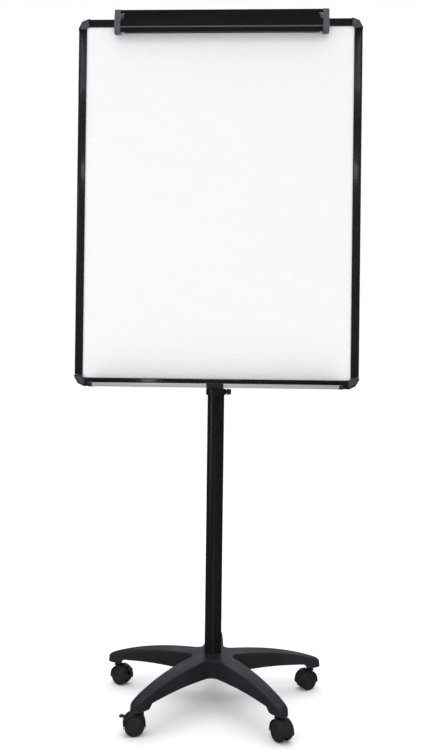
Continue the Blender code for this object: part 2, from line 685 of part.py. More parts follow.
def jaw_section():
    """The jaw's wall: a tall upper face, a ridge and a lower lip with an inward flange."""
    outside = [(0.0140, 1.6993), (0.0160, 1.6950), (0.0190, 1.6800), (0.0228, 1.6610),
               (0.0244, 1.6505), (0.0236, 1.6466), (0.0196, 1.6430), (0.0125, 1.6412),
               (0.0040, 1.6440)]
    inside = [(0.0040, 1.6458), (0.0110, 1.6436), (0.0176, 1.6450), (0.0214, 1.6482),
              (0.0222, 1.6510), (0.0209, 1.6606), (0.0171, 1.6796), (0.0141, 1.6940),
              (0.0122, 1.6985)]
    return outside + inside


def jaw_mesh():
    """The jaw with its two hinge lugs, in world directions about a point on its hinge axis."""
    wall = prism(forward(jaw_section()), -CLAMP_HALF_LENGTH, CLAMP_HALF_LENGTH, "X")
    centre = (FRAME_FRONT_Y - HINGE_FORWARD, HINGE_Z)
    back = [(centre[0] + 0.0048 * cos(t), centre[1] + 0.0048 * sin(t))
            for t in (radians(90 - 30 * i) for i in range(7))]
    lug = back + forward([(0.0196, 1.6745), (0.0176, 1.6835)])
    lugs = [prism(lug, x - 0.012, x + 0.012, "X") for x in (-LUG_X, LUG_X)]
    bores = [prism(circle(HINGE_ROD_R + GAP, ROUND, centre), x - 0.02, x + 0.02, "X")
             for x in (-LUG_X, LUG_X)]
    boss_room = circle(PIVOT_BOSS_R + 0.0007, 24, centre)
    start = CLAMP_CAP_INNER - PIVOT_BOSS_LENGTH - 2 * GAP
    notches = [prism(boss_room, low, low + 0.020, "X") for low in (start, -start - 0.020)]
    jaw = cut(joined(wall, *lugs), *bores, *notches)
    return moved(jaw, (0, -centre[0], -centre[1]))


def clamp_cap_mesh(sign):
    """An end cap: the clamp's outline, with a round boss that holds the hinge rod."""
    outline = [(GAP, 1.6430), (0.0118, 1.6400), (0.0200, 1.6416), (0.0245, 1.6456),
               (0.0253, 1.6508), (0.0236, 1.6615), (0.0198, 1.6802), (0.0168, 1.6952),
               (0.0146, 1.7000), (GAP, 1.7000)]
    ends = sorted((sign * CLAMP_CAP_INNER, sign * CLAMP_CAP_OUTER))
    cap = prism(forward(outline), *ends, "X")
    centre = (FRAME_FRONT_Y - HINGE_FORWARD, HINGE_Z)
    reach = sorted((sign * (CLAMP_CAP_INNER - PIVOT_BOSS_LENGTH), sign * 0.2570))
    boss = prism(circle(PIVOT_BOSS_R, 16, centre), *reach, "X")
    depth = sorted((sign * 0.2300, sign * 0.2555))
    bore = prism(circle(HINGE_ROD_R + GAP, ROUND, centre), *depth, "X")
    return cut(joined(cap, boss), bore)


def hinge_rod_mesh():
    centre = (FRAME_FRONT_Y - HINGE_FORWARD, HINGE_Z)
    return prism(circle(HINGE_ROD_R, ROUND, centre), -0.2550, 0.2550, "X")


def grip_strip_mesh():
    section = [(-0.0031, 1.6440), (0.0037, 1.6440), (0.0037, 1.6461), (0.0085, 1.6461),
               (0.0085, 1.6483), (0.0037, 1.6483), (0.0037, 1.6497), (-0.0031, 1.6497)]
    strip = prism(forward(section), -0.2400, 0.2400, "X")
    return moved(strip, (0, HINGE_FORWARD - FRAME_FRONT_Y, -HINGE_Z))


def pad_hook_mesh():
    """A slider that hangs on the clamp rail's lower edge, with a peg for the pad's hole."""
    section = [(0.0052, 1.6572), (0.0052, 1.6730), (0.0026, 1.6730), (0.0026, 1.6597),
               (0.0, 1.6597), (0.0, 1.6640), (-0.0022, 1.6640), (-0.0022, 1.6572)]
    slider = prism(forward(section), -0.006, 0.006, "X")
    peg = lathe([(0, 0.0), (0.0030, 0.0), (0.0030, 0.0088), (0.0020, 0.0104), (0, 0.0106)],
                ROUND, "Y")
    peg = moved(peg, turn=pi)
    return joined(slider, moved(peg, (0, FRAME_FRONT_Y - 0.0045, HOOK_Z)))


def spring_mesh():
    """A torsion spring on the hinge rod, with one leg to the rail and one to the jaw."""
    coil_r, wire_r, turns, steps, sides = 0.0037, 0.0006, 4, 10, 5
    count = steps * turns
    path = [Vector((-0.0110, 0.0085, -0.0105))]
    for i in range(count + 1):
        t = pi - 2 * pi * i / steps
        path.append(Vector((-0.0110 + 0.0220 * i / count, -coil_r * cos(t), coil_r * sin(t))))
    path.append(Vector((0.0110, -0.0008, 0.0135)))
    rings = []
    for i, point in enumerate(path):
        along = (path[min(i + 1, len(path) - 1)] - path[max(i - 1, 0)]).normalized()
        side = along.cross(Vector((1, 0, 0))).normalized()
        up = along.cross(side)
        rings.append([point + wire_r * (cos(t) * side + sin(t) * up)
                      for t in (2 * pi * k / sides for k in range(sides))])
    return loft(rings)


def add_clamp(mast):
    fixed = add_empty("clamp_origin", (CLAMP_X, 0, 0), mast)
    hinge = add_empty("clamp_hinge", (CLAMP_X, FRAME_FRONT_Y - HINGE_FORWARD, HINGE_Z), mast)
    place("clamp_rail", clamp_rail_mesh(), "black_aluminium", fixed)
    place("hinge_rod", hinge_rod_mesh(), "steel", fixed)
    place("clamp_jaw", jaw_mesh(), "black_aluminium", hinge)
    place("clamp_grip_strip", grip_strip_mesh(), "rubber", hinge)
    place("clamp_spring", spring_mesh(), "steel", hinge)
    for side, sign in (("left", -1), ("right", 1)):
        place(f"clamp_cap_{side}", clamp_cap_mesh(sign), "grey_plastic", fixed)
        place(f"pad_hook_{side}", pad_hook_mesh(), "castor_nylon", fixed, (sign * HOOK_X, 0, 0))


def clear_scene():
    for obj in list(bpy.data.objects):
        bpy.data.objects.remove(obj)


def main():
    clear_scene()
    axis = add_empty("column_axis", (0, COLUMN_Y, 0))
    mast = add_empty("mast_axis", (0, 0, 0), axis)
    add_column(axis, mast)
    add_castors(axis)
    add_rails(mast)
    add_corners(mast)
    add_panel(mast)
    add_tray(mast)
    add_mast_fittings(mast)
    add_clamp(mast)


main()
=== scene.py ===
"""Looks of the mobile flipchart easel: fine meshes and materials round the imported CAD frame.

Every length is in metres, in the row frame: +Z up, the writing face looks along -Y. Places and
overall sizes come from the frame; the constants here are only the fine detail of each piece.
"""

import json
from math import atan2, cos, pi, radians, sin

import bmesh
import bpy
from mathutils import Matrix, Vector


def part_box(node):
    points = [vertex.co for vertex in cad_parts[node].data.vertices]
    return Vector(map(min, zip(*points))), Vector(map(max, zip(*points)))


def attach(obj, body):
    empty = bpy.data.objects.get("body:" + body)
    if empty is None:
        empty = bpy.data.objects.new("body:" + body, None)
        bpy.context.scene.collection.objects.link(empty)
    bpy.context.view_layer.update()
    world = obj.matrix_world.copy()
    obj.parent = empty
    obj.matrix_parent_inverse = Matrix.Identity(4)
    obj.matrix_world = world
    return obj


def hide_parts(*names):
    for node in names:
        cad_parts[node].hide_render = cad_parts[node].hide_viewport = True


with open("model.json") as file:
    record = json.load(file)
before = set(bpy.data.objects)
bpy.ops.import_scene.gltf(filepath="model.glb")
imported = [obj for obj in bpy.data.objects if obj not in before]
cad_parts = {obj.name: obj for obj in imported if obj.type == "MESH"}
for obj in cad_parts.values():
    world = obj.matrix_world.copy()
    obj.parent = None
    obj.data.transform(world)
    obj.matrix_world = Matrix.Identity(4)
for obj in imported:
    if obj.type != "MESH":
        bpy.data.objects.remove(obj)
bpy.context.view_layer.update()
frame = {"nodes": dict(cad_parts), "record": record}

RECORD = frame["record"]
SLOT_OF = {part["node"]: part["material_slot"] for part in RECORD["subparts"]}
BODY_OF = {node: body for body, nodes in RECORD["behaviour"]["bodies"].items() for node in nodes}
JOINT = {joint["name"]: joint for joint in RECORD["behaviour"]["joints"]}

AXIS_Y = JOINT["mast_swivel"]["pos_m"][1]       # the column's axis, at x = 0
CORNERS = ("back", "left", "front_left", "front_right", "right")
BRAKED = ("left", "front_left")
SIDES = (("left", -1), ("right", 1))
ROUND_SIDES = 72
SHARP_ANGLE = 32                # degrees; sharper edges get a small bevel
GAP = 0.0003                    # between neighbouring pieces
TUBE_WALL = 0.0012
MAST_SEAT = 0.0193              # radius of the holes round the inner tube
BOLT_HOLE = 0.0043


# ---------------------------------------------------------------- outlines

def arc(centre, radius, first, last, steps):
    """Points on an arc, from first to last degrees, both ends included."""
    turns = [radians(first + (last - first) * i / steps) for i in range(steps + 1)]
    return [(centre[0] + radius * cos(t), centre[1] + radius * sin(t)) for t in turns]


def circle(radius, sides=ROUND_SIDES, centre=(0.0, 0.0)):
    return arc(centre, radius, 0, 360, sides)[:-1]


def rounded(outline, radius, steps=4):
    """A closed outline with its corners rounded. The radius is one number, or one per corner."""
    count = len(outline)
    radii = radius if isinstance(radius, (list, tuple)) else [radius] * count
    result = []
    for i, corner in enumerate(outline):
        here = Vector(corner)
        back = Vector(outline[i - 1]) - here
        ahead = Vector(outline[(i + 1) % count]) - here
        half = back.angle(ahead) / 2
        if radii[i] <= 0 or half > radians(88):
            result.append(tuple(here))
            continue
        reach = min(radii[i] / max(0.05, abs(sin(half) / cos(half))), 0.48 * back.length,
                    0.48 * ahead.length)
        start = here + back.normalized() * reach
        end = here + ahead.normalized() * reach
        for k in range(steps + 1):
            t = k / steps
            result.append(tuple(start * (1 - t) ** 2 + here * 2 * t * (1 - t) + end * t ** 2))
    return result


# ---------------------------------------------------------------- meshes

def finished(bm):
    """A smooth-shaded mesh with merged points and outward normals, made from bm."""
    bmesh.ops.remove_doubles(bm, verts=bm.verts, dist=1e-6)
    bmesh.ops.recalc_face_normals(bm, faces=bm.faces)
    mesh = bpy.data.meshes.new("shape")
    bm.to_mesh(mesh)
    bm.free()
    mesh.shade_smooth()
    return mesh


def loft(loops, closed=False):
    """A solid through loops of points. Its ends are filled unless it closes on itself."""
    bm = bmesh.new()
    rings = [[bm.verts.new(point) for point in loop] for loop in loops]
    count = len(rings[0])
    followers = rings[1:] + (rings[:1] if closed else [])
    for low, high in zip(rings, followers):
        for i in range(count):
            j = (i + 1) % count
            bm.faces.new((low[i], low[j], high[j], high[i]))
    if not closed:
        bm.faces.new(rings[0])
        bm.faces.new(rings[-1])
    return finished(bm)


def prism(outline, low, high, axis, levels=()):
    """An outline pushed along an axis. It holds (y, z) for X, (x, z) for Y and (x, y) for Z."""
    def point(u, v, w):
        return {"X": (w, u, v), "Y": (u, w, v), "Z": (u, v, w)}[axis]
    stops = sorted([low, high, *levels])
    return loft([[point(u, v, w) for u, v in outline] for w in stops])


def box(low, high, edge=0.0, steps=2):
    """A block whose upright edges are rounded."""
    outline = [(low[0], low[1]), (high[0], low[1]), (high[0], high[1]), (low[0], high[1])]
    return prism(rounded(outline, edge, steps) if edge else outline, low[2], high[2], "Z")


def lathe(profile, sides=ROUND_SIDES, axis="Z"):
    """Turns a closed profile of (radius, height) about an axis through the origin."""
    bm = bmesh.new()
    rings = []
    for radius, height in profile:
        if radius <= 1e-7:
            rings.append([bm.verts.new((0, 0, height))] * sides)
        else:
            rings.append([bm.verts.new((x, y, height)) for x, y in circle(radius, sides)])
    for low, high in zip(rings, rings[1:] + rings[:1]):
        for i in range(sides):
            j = (i + 1) % sides
            corners = list(dict.fromkeys((low[i], low[j], high[j], high[i])))
            if len(corners) > 2:
                bm.faces.new(corners)
    turn = {"X": Matrix.Rotation(pi / 2, 4, "Y"), "Y": Matrix.Rotation(-pi / 2, 4, "X")}
    bm.transform(turn.get(axis, Matrix.Identity(4)))
    return finished(bm)


def moved(mesh, offset=(0, 0, 0), turn=0.0, axis="Z"):
    """A copy of the mesh, turned about an axis through the origin and then shifted."""
    mesh = mesh.copy()
    mesh.transform(Matrix.Translation(offset) @ Matrix.Rotation(turn, 4, axis))
    return mesh


def on_axis(mesh, z=0):
    """A copy of the mesh moved to the column's axis."""
    return moved(mesh, (0, AXIS_Y, z))


def together(*meshes):
    """One mesh that holds all of these as separate shells."""
    bm = bmesh.new()
    for mesh in meshes:
        bm.from_mesh(mesh)
    return finished(bm)


def combined(mesh, operation, tools):
    """The mesh after an exact Boolean with each of the tools."""
    for tool in tools:
        pair = [bpy.data.objects.new("operand", item) for item in (mesh, tool)]
        for obj in pair:
            bpy.context.scene.collection.objects.link(obj)
        modifier = pair[0].modifiers.new("Boolean", "BOOLEAN")
        modifier.operation = operation
        modifier.object = pair[1]
        graph = bpy.context.evaluated_depsgraph_get()
        mesh = bpy.data.meshes.new_from_object(pair[0].evaluated_get(graph))
        for obj in pair:
            bpy.data.objects.remove(obj)
    mesh.shade_smooth()
    return mesh


def joined(mesh, *tools):
    return combined(mesh, "UNION", tools)


def cut(mesh, *tools):
    return combined(mesh, "DIFFERENCE", tools)


def direction(path, i):
    """The unit direction of a path of points at its point i."""
    return (path[min(i + 1, len(path) - 1)] - path[max(i - 1, 0)]).normalized()


def swept(path, section, flat=None):
    """A section of (side, up) pushed along a path of points. flat fixes the side direction."""
    loops = []
    for i, point in enumerate(path):
        along = direction(path, i)
        side = Vector(flat) if flat else along.cross(Vector((0, 0, 1))).normalized()
        up = side.cross(along)
        shape = section(i / (len(path) - 1)) if callable(section) else section
        loops.append([point + a * side + b * up for a, b in shape])
    return loft(loops)


# ---------------------------------------------------------------- materials

class Nodes:
    """A short way to write one material's nodes."""

    def __init__(self, name):
        self.material = bpy.data.materials.new(name)
        self.material.use_nodes = True
        self.tree = self.material.node_tree
        self.shader = self.tree.nodes["Principled BSDF"]
        self.place = self.add("ShaderNodeTexCoord").outputs["Object"]

    def add(self, kind, **settings):
        node = self.tree.nodes.new(kind)
        for key, value in settings.items():
            setattr(node, key, value)
        return node

    def link(self, output, target):
        self.tree.links.new(output, target)

    def shade(self, **values):
        """Sets shader inputs, named with _ for a space, to numbers or to nodes' outputs."""
        for name, value in values.items():
            socket = self.shader.inputs[name.replace("_", " ")]
            if isinstance(value, (int, float)):
                socket.default_value = value
            else:
                self.link(value, socket)

    def noise(self, size, detail=2.0, stretch=(1, 1, 1)):
        """Noise whose features are about size metres across, times stretch."""
        mapping = self.add("ShaderNodeMapping")
        mapping.inputs["Scale"].default_value = [1 / (size * s) for s in stretch]
        self.link(self.place, mapping.inputs["Vector"])
        noise = self.add("ShaderNodeTexNoise")
        noise.inputs["Scale"].default_value = 1.0
        noise.inputs["Detail"].default_value = detail
        self.link(mapping.outputs["Vector"], noise.inputs["Vector"])
        return noise.outputs["Fac"]

    def ranged(self, value, low, high, start=0.3, end=0.7):
        node = self.add("ShaderNodeMapRange")
        self.link(value, node.inputs["Value"])
        for name, number in (("From Min", start), ("From Max", end), ("To Min", low),
                             ("To Max", high)):
            node.inputs[name].default_value = number
        return node.outputs["Result"]

    def mixed(self, factor, first, second):
        """A colour between two, each a colour or an output."""
        node = self.add("ShaderNodeMix", data_type="RGBA")
        self.link(factor, node.inputs["Factor"])
        for name, value in (("A", first), ("B", second)):
            socket = [s for s in node.inputs if s.name == name and s.type == "RGBA"][0]
            if isinstance(value, tuple):
                socket.default_value = (*value, 1.0)
            else:
                self.link(value, socket)
        return [s for s in node.outputs if s.type == "RGBA"][0]

    def bump(self, height, depth, before=None):
        node = self.add("ShaderNodeBump")
        node.inputs["Distance"].default_value = depth
        node.inputs["Strength"].default_value = 1.0
        self.link(height, node.inputs["Height"])
        if before is not None:
            self.link(before, node.inputs["Normal"])
        return node.outputs["Normal"]

    def convex_edge_mask(self, low, high):
        """0 on flat stretches, towards 1 on edges that stand out."""
        geometry = self.add("ShaderNodeNewGeometry")
        return self.ranged(geometry.outputs["Pointiness"], 0.0, 1.0, low, high)


def surface(name, colour, roughness, metallic=0.0, spread=0.12, rough_spread=0.06, grain=0.0004,
            grain_depth=0.00003, wave=0.0, wave_size=0.02, stretch=(1, 1, 1), edge_colour=None,
            coat=0.0, shade_size=0.06, tint=(1.0, 1.0, 1.0)):
    """A finish with uneven colour and gloss, a fine grain, a soft wave and lighter convex edges."""
    nodes = Nodes(name)
    darker = tuple(c * (1 - spread) for c in colour)
    lighter = tuple(c * (1 + spread) * t for c, t in zip(colour, tint))
    shade = nodes.ranged(nodes.noise(shade_size, 4.0, stretch), 0.0, 1.0)
    base = nodes.mixed(shade, darker, lighter)
    if edge_colour:
        # Edges that stand out are mixed towards the lighter edge colour.
        base = nodes.mixed(nodes.convex_edge_mask(0.52, 0.62), base, edge_colour)
    smear = nodes.noise(shade_size * 0.35, 5.0, stretch)
    gloss = nodes.ranged(smear, roughness - rough_spread, roughness + rough_spread)
    normal = nodes.bump(nodes.noise(grain, 2.0, stretch), grain_depth)
    if wave:
        normal = nodes.bump(nodes.noise(wave_size, 1.0, stretch), wave, normal)
    nodes.shade(Base_Color=base, Roughness=gloss, Normal=normal, Metallic=metallic,
                Coat_Weight=coat, Coat_Roughness=0.08)
    return nodes.material


def honeycomb_board():
    nodes = Nodes("kraft_board")
    fibre = nodes.noise(0.004, 5.0, (1, 1, 0.2))
    nodes.shade(Base_Color=nodes.mixed(fibre, (0.30, 0.22, 0.13), (0.46, 0.36, 0.24)),
                Roughness=0.9, Normal=nodes.bump(fibre, 0.0002))
    return nodes.material


def stucco_sheet():
    """The back sheet: thin metal with an embossed pebble pattern."""
    nodes = Nodes("stucco_sheet")
    cells = nodes.add("ShaderNodeTexVoronoi", feature="SMOOTH_F1")
    cells.inputs["Scale"].default_value = 260.0
    cells.inputs["Smoothness"].default_value = 0.6
    nodes.link(nodes.place, cells.inputs["Vector"])
    shade = nodes.ranged(nodes.noise(0.12, 3.0), 0.0, 1.0)
    nodes.shade(Base_Color=nodes.mixed(shade, (0.40, 0.41, 0.42), (0.50, 0.51, 0.52)),
                Roughness=nodes.ranged(nodes.noise(0.03, 4.0), 0.32, 0.46), Metallic=0.55,
                Normal=nodes.bump(cells.outputs["Distance"], 0.0005))
    return nodes.material


def writing_enamel():
    """Gloss white lacquer, faintly clouded by wiped marker ink, with a slight ripple."""
    nodes = Nodes("writing_enamel")
    ghost = nodes.ranged(nodes.noise(0.16, 3.0, (1.8, 1, 0.8)), 0.0, 1.0, 0.35, 0.75)
    strokes = nodes.ranged(nodes.noise(0.03, 3.0, (4.5, 1, 0.5)), 0.0, 1.0, 0.45, 0.85)
    base = nodes.mixed(ghost, (0.826, 0.827, 0.832), (0.812, 0.812, 0.816))
    base = nodes.mixed(strokes, base, (0.816, 0.819, 0.828))
    nodes.shade(Base_Color=base,
                Roughness=nodes.ranged(nodes.noise(0.05, 4.0, (3, 1, 1)), 0.20, 0.32),
                Normal=nodes.bump(nodes.noise(0.0012, 2.0), 0.000012),
                Specular_IOR_Level=0.35, Coat_Weight=0.25, Coat_Roughness=0.12)
    return nodes.material


FINISHES = {
    "base_nylon": dict(colour=(0.0165, 0.0170, 0.0180), roughness=0.40, spread=0.20,
        grain=0.0009, grain_depth=0.00010, wave=0.0004, edge_colour=(0.038, 0.040, 0.045),
        rough_spread=0.07, shade_size=0.11, tint=(0.96, 1.02, 1.22)),
    "castor_nylon": dict(colour=(0.0190, 0.0190, 0.0195), roughness=0.36, grain=0.0007,
        grain_depth=0.00005, edge_colour=(0.034, 0.034, 0.035), rough_spread=0.08),
    "wheel_nylon": dict(colour=(0.0175, 0.0175, 0.0178), roughness=0.44, spread=0.25,
        grain=0.0006, grain_depth=0.00005, edge_colour=(0.045, 0.044, 0.042), rough_spread=0.10,
        shade_size=0.012),
    "black_paint": dict(colour=(0.0058, 0.0062, 0.0072), roughness=0.30, spread=0.10,
        grain=0.0011, grain_depth=0.00004, wave=0.00008, wave_size=0.004,
        edge_colour=(0.030, 0.030, 0.032), rough_spread=0.05),
    "black_aluminium": dict(colour=(0.0125, 0.0130, 0.0145), roughness=0.25, spread=0.10,
        grain=0.0008, grain_depth=0.00001, wave=0.00005, wave_size=0.02, coat=0.4,
        rough_spread=0.05),
    "clamp_black": dict(colour=(0.0075, 0.0080, 0.0090), roughness=0.15, spread=0.10,
        grain=0.0006, grain_depth=0.00001, wave=0.00004, wave_size=0.01, stretch=(12, 1, 1),
        coat=0.5, rough_spread=0.05),
    "corner_plastic": dict(colour=(0.0115, 0.0128, 0.0145), roughness=0.34, spread=0.35,
        grain=0.0016, grain_depth=0.00025, edge_colour=(0.050, 0.055, 0.062), rough_spread=0.12,
        shade_size=0.008),
    "grey_plastic": dict(colour=(0.036, 0.042, 0.050), roughness=0.46, spread=0.20,
        grain=0.0010, grain_depth=0.00010, edge_colour=(0.080, 0.088, 0.100), rough_spread=0.08,
        shade_size=0.01),
    "tray_grey": dict(colour=(0.55, 0.545, 0.595), roughness=0.30, metallic=0.35, spread=0.10,
        grain=0.0005, grain_depth=0.00002, stretch=(30, 1, 1), shade_size=0.01,
        rough_spread=0.07),
    "rubber": dict(colour=(0.017, 0.017, 0.017), roughness=0.75, grain=0.0008,
        grain_depth=0.00010, edge_colour=(0.035, 0.035, 0.034)),
    "steel": dict(colour=(0.52, 0.53, 0.55), roughness=0.26, metallic=1.0, grain=0.0005,
        grain_depth=0.00002, rough_spread=0.08, shade_size=0.01, tint=(1.0, 1.0, 0.93)),
}
MATERIALS = {name: surface(name, **finish) for name, finish in FINISHES.items()}
MATERIALS.update(honeycomb=honeycomb_board(), back_grey=stucco_sheet(),
                 white_enamel=writing_enamel())


# ---------------------------------------------------------------- pieces

def soften(obj, width, steps=2):
    """Rounds the mesh's sharp edges and evens the shading of its flat faces."""
    bevel = obj.modifiers.new("Bevel", "BEVEL")
    bevel.width = width
    bevel.segments = steps
    bevel.limit_method = "ANGLE"
    bevel.angle_limit = radians(SHARP_ANGLE)
    obj.modifiers.new("WeightedNormal", "WEIGHTED_NORMAL")


def piece(name, mesh, body, slot, finish=None, edge=0.0, steps=2):
    """A shown piece that moves with a body. Its finish is its slot's unless one is named."""
    mesh.name = name
    mesh.materials.clear()
    mesh.materials.append(MATERIALS[finish or slot])
    obj = bpy.data.objects.new(name, mesh)
    bpy.context.scene.collection.objects.link(obj)
    if edge:
        soften(obj, edge, steps)
    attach(obj, body)
    return obj


def stand_in(node, mesh, finish=None, edge=0.0, steps=2):
    """A finer piece shown in place of one CAD node."""
    obj = piece(f"{node}_fine", mesh, BODY_OF[node], SLOT_OF[node], finish, edge, steps)
    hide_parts(node)
    return obj


def repaint(node, edge=0.0):
    """Gives a CAD node that is shown its material and, if asked, softer edges."""
    obj = frame["nodes"][node]
    obj.data.materials.clear()
    obj.data.materials.append(MATERIALS[SLOT_OF[node]])
    if edge:
        soften(obj, edge)


def pin(radius, low, high, chamfer, sides, axis="Z"):
    """A turned pin with chamfered ends."""
    inner = radius - chamfer
    return lathe([(0, low), (inner, low), (radius, low + chamfer), (radius, high - chamfer),
                  (inner, high), (0, high)], sides, axis)


def middle(node, axis=2):
    """The middle of a CAD node's box along one axis."""
    low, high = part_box(node)
    return (low[axis] + high[axis]) / 2


def dome(radius, base, rise, step, first=0):
    """Points of (radius, height) from a dome's foot to just before its top, every step degrees."""
    return [(radius * cos(t), base + rise * sin(t))
            for t in (radians(step * i) for i in range(first, 90 // step))]


def screw(radius, height):
    """A pan-head screw along +Z with a cross recess, its seat at the origin."""
    foot = [(0, -0.0006), (radius, -0.0006), (radius, height * 0.35)]
    head = lathe(foot + dome(radius, height * 0.35, height * 0.65, 15, 1) + [(0, height)], 32)
    slots = [box((-a, -b, height * 0.45), (a, b, height * 2))
             for a, b in ((radius * 0.62, radius * 0.13), (radius * 0.13, radius * 0.62))]
    return cut(head, *slots)


def hex_head(across, height):
    """A hexagon head along +Z with a chamfered top and a washer face, its seat at the origin."""
    corner = across / 2 / cos(pi / 6)
    body = prism(circle(corner, 6), 0.0004, height, "Z")
    cone = lathe([(0, -0.001), (corner * 1.2, -0.001), (corner * 1.2, height * 0.72),
                  (across * 0.46, height + 1e-4), (0, height + 1e-4)], 48)
    washer_face = prism(circle(across * 0.47, 40), 0, 0.0006, "Z")
    return joined(combined(body, "INTERSECT", [cone]), washer_face)


# ---------------------------------------------------------------- star base

ARM_STATIONS = 46
HUB_TOP_RISE = 0.0020
RIM = 0.0032                    # wall of the hollow arms
ARM_SHAPE = {"hub": 0.0570, "tip": 0.287, "pivot": 0.263, "top": 0.1134, "drop": 0.0398,
             "under": 0.0680, "tip_under": 0.0550, "tube": 0.0216}
ARM_HALF_WIDTHS = ((0.0, 0.0268), (0.05, 0.0262), (0.10, 0.0245), (0.15, 0.0223), (0.20, 0.0200),
                   (0.250, 0.0172), (0.266, 0.0156), (0.274, 0.0145), (0.280, 0.0129),
                   (0.2842, 0.0108), (0.2864, 0.0084), (0.287, 0.0064))
VALLEY_STEPS = 12


def smooth_step(low, high, value):
    t = min(1.0, max(0.0, (value - low) / (high - low)))
    return t * t * (3 - 2 * t)


def arm_half_width(radius):
    for (r0, w0), (r1, w1) in zip(ARM_HALF_WIDTHS, ARM_HALF_WIDTHS[1:]):
        if radius <= r1:
            return w0 + (w1 - w0) * (radius - r0) / (r1 - r0)
    return ARM_HALF_WIDTHS[-1][1]


def arm_top(radius):
    return ARM_SHAPE["top"] - ARM_SHAPE["drop"] * (radius / ARM_SHAPE["tip"]) ** 2.7


def arm_under(radius):
    """The underside: a shallow arch from the hub, then the deeper block at the tip."""
    share = min(1.0, max(0.0, (radius - 0.055) / 0.195))
    main = ARM_SHAPE["under"] + 0.0050 * sin(pi * share) - 0.0025 * share
    return main + (ARM_SHAPE["tip_under"] - main) * smooth_step(0.240, 0.252, radius)


def half_sector_stations():
    """Pairs of points (inner, outer) in plan, from the valley beside an arm to its tip."""
    tube, hub, tip = ARM_SHAPE["tube"], ARM_SHAPE["hub"], ARM_SHAPE["tip"]
    valley = radians(36)
    bend = (hub * sin(valley) - arm_half_width(0.060)) / (1 - sin(valley))
    centre = Vector((cos(valley), sin(valley))) * (hub + bend)
    stations = []
    for i in range(VALLEY_STEPS + 1):
        t = i / VALLEY_STEPS
        turn = pi + valley + (pi / 2 - valley) * t
        outer = centre + bend * Vector((cos(turn), sin(turn)))
        inner = (tube * cos(valley * (1 - t)), tube * sin(valley * (1 - t)))
        stations.append((inner, tuple(outer)))
    start = centre.x
    for i in range(1, ARM_STATIONS + 1):
        t = i / ARM_STATIONS
        radius = start + (tip - start) * (1 - (1 - t) ** 1.6)
        inner = min(tube + (radius - start) * 1.22, tip - 0.014)
        stations.append(((inner, 0.0), (radius, arm_half_width(radius))))
    for share in (0.66, 0.33, 0.0):
        stations.append(((tip - 0.014, 0.0), (tip, arm_half_width(tip) * share)))
    return stations


def across(inner, outer):
    """Points over an arm from its middle, over the shoulder, down the side and back inside."""
    inner, outer = Vector(inner), Vector(outer)
    span = max((outer - inner).length, 1e-6)
    away = (outer - inner).normalized()
    upper = outer - away * min(0.0012, 0.1 * span)
    inset = upper - away * min(0.30 * span, 0.0038)
    points = []
    for k in range(9):
        t = k / 8
        flat = inner + (inset - inner) * t
        ring = HUB_TOP_RISE * (1 - smooth_step(0.0240, 0.0285, flat.length))
        points.append((flat.x, flat.y, arm_top(flat.length) - 0.0012 * t * t + ring))
    for k in range(1, 6):
        turn = pi / 2 * k / 5
        flat = inset + (upper - inset) * sin(turn)
        points.append((flat.x, flat.y, arm_top(flat.length) - 0.0012 - 0.0043 * (1 - cos(turn))))
    under = arm_under(outer.length)
    top = arm_top(upper.length) - 0.0055
    for share in (0.35, 0.7, 0.95):
        flat = upper + (outer - upper) * share
        points.append((flat.x, flat.y, top + (under - top) * share))
    lip = outer - away * min(0.0006, 0.1 * span)
    points.append((lip.x, lip.y, under))
    wall = outer - away * min(RIM, 0.4 * span)
    points.append((wall.x, wall.y, under))
    ceiling = arm_top(wall.length) - 0.0110
    solid = smooth_step(0.2505, 0.2530, outer.length)
    points.append((wall.x, wall.y, ceiling + (under - ceiling) * solid))
    for t in (0.5, 1.0):
        flat = wall + (inner - wall) * t
        ceiling = arm_top(flat.length) - 0.0085
        points.append((flat.x, flat.y, ceiling + (under - ceiling) * solid))
    return points


def star_base_mesh():
    """The whole base, mirrored and turned from half of one arm."""
    rows = [across(*pair) for pair in half_sector_stations()]
    bm = bmesh.new()
    for turn in range(5):
        for mirror in (1, -1):
            matrix = (Matrix.Rotation(radians(90 + 72 * turn), 4, "Z")
                      @ Matrix.Diagonal((1, mirror, 1, 1)))
            grid = [[bm.verts.new(matrix @ Vector(point)) for point in row] for row in rows]
            for low, high in zip(grid, grid[1:]):
                for i in range(len(low) - 1):
                    bm.faces.new((low[i], low[i + 1], high[i + 1], high[i]))
            for low, high in zip(grid[:VALLEY_STEPS + 1], grid[1:VALLEY_STEPS + 1]):
                bm.faces.new((low[-1], low[0], high[0], high[-1]))
    bmesh.ops.remove_doubles(bm, verts=bm.verts, dist=2e-5)
    bmesh.ops.dissolve_degenerate(bm, edges=bm.edges, dist=1e-6)
    return finished(bm)


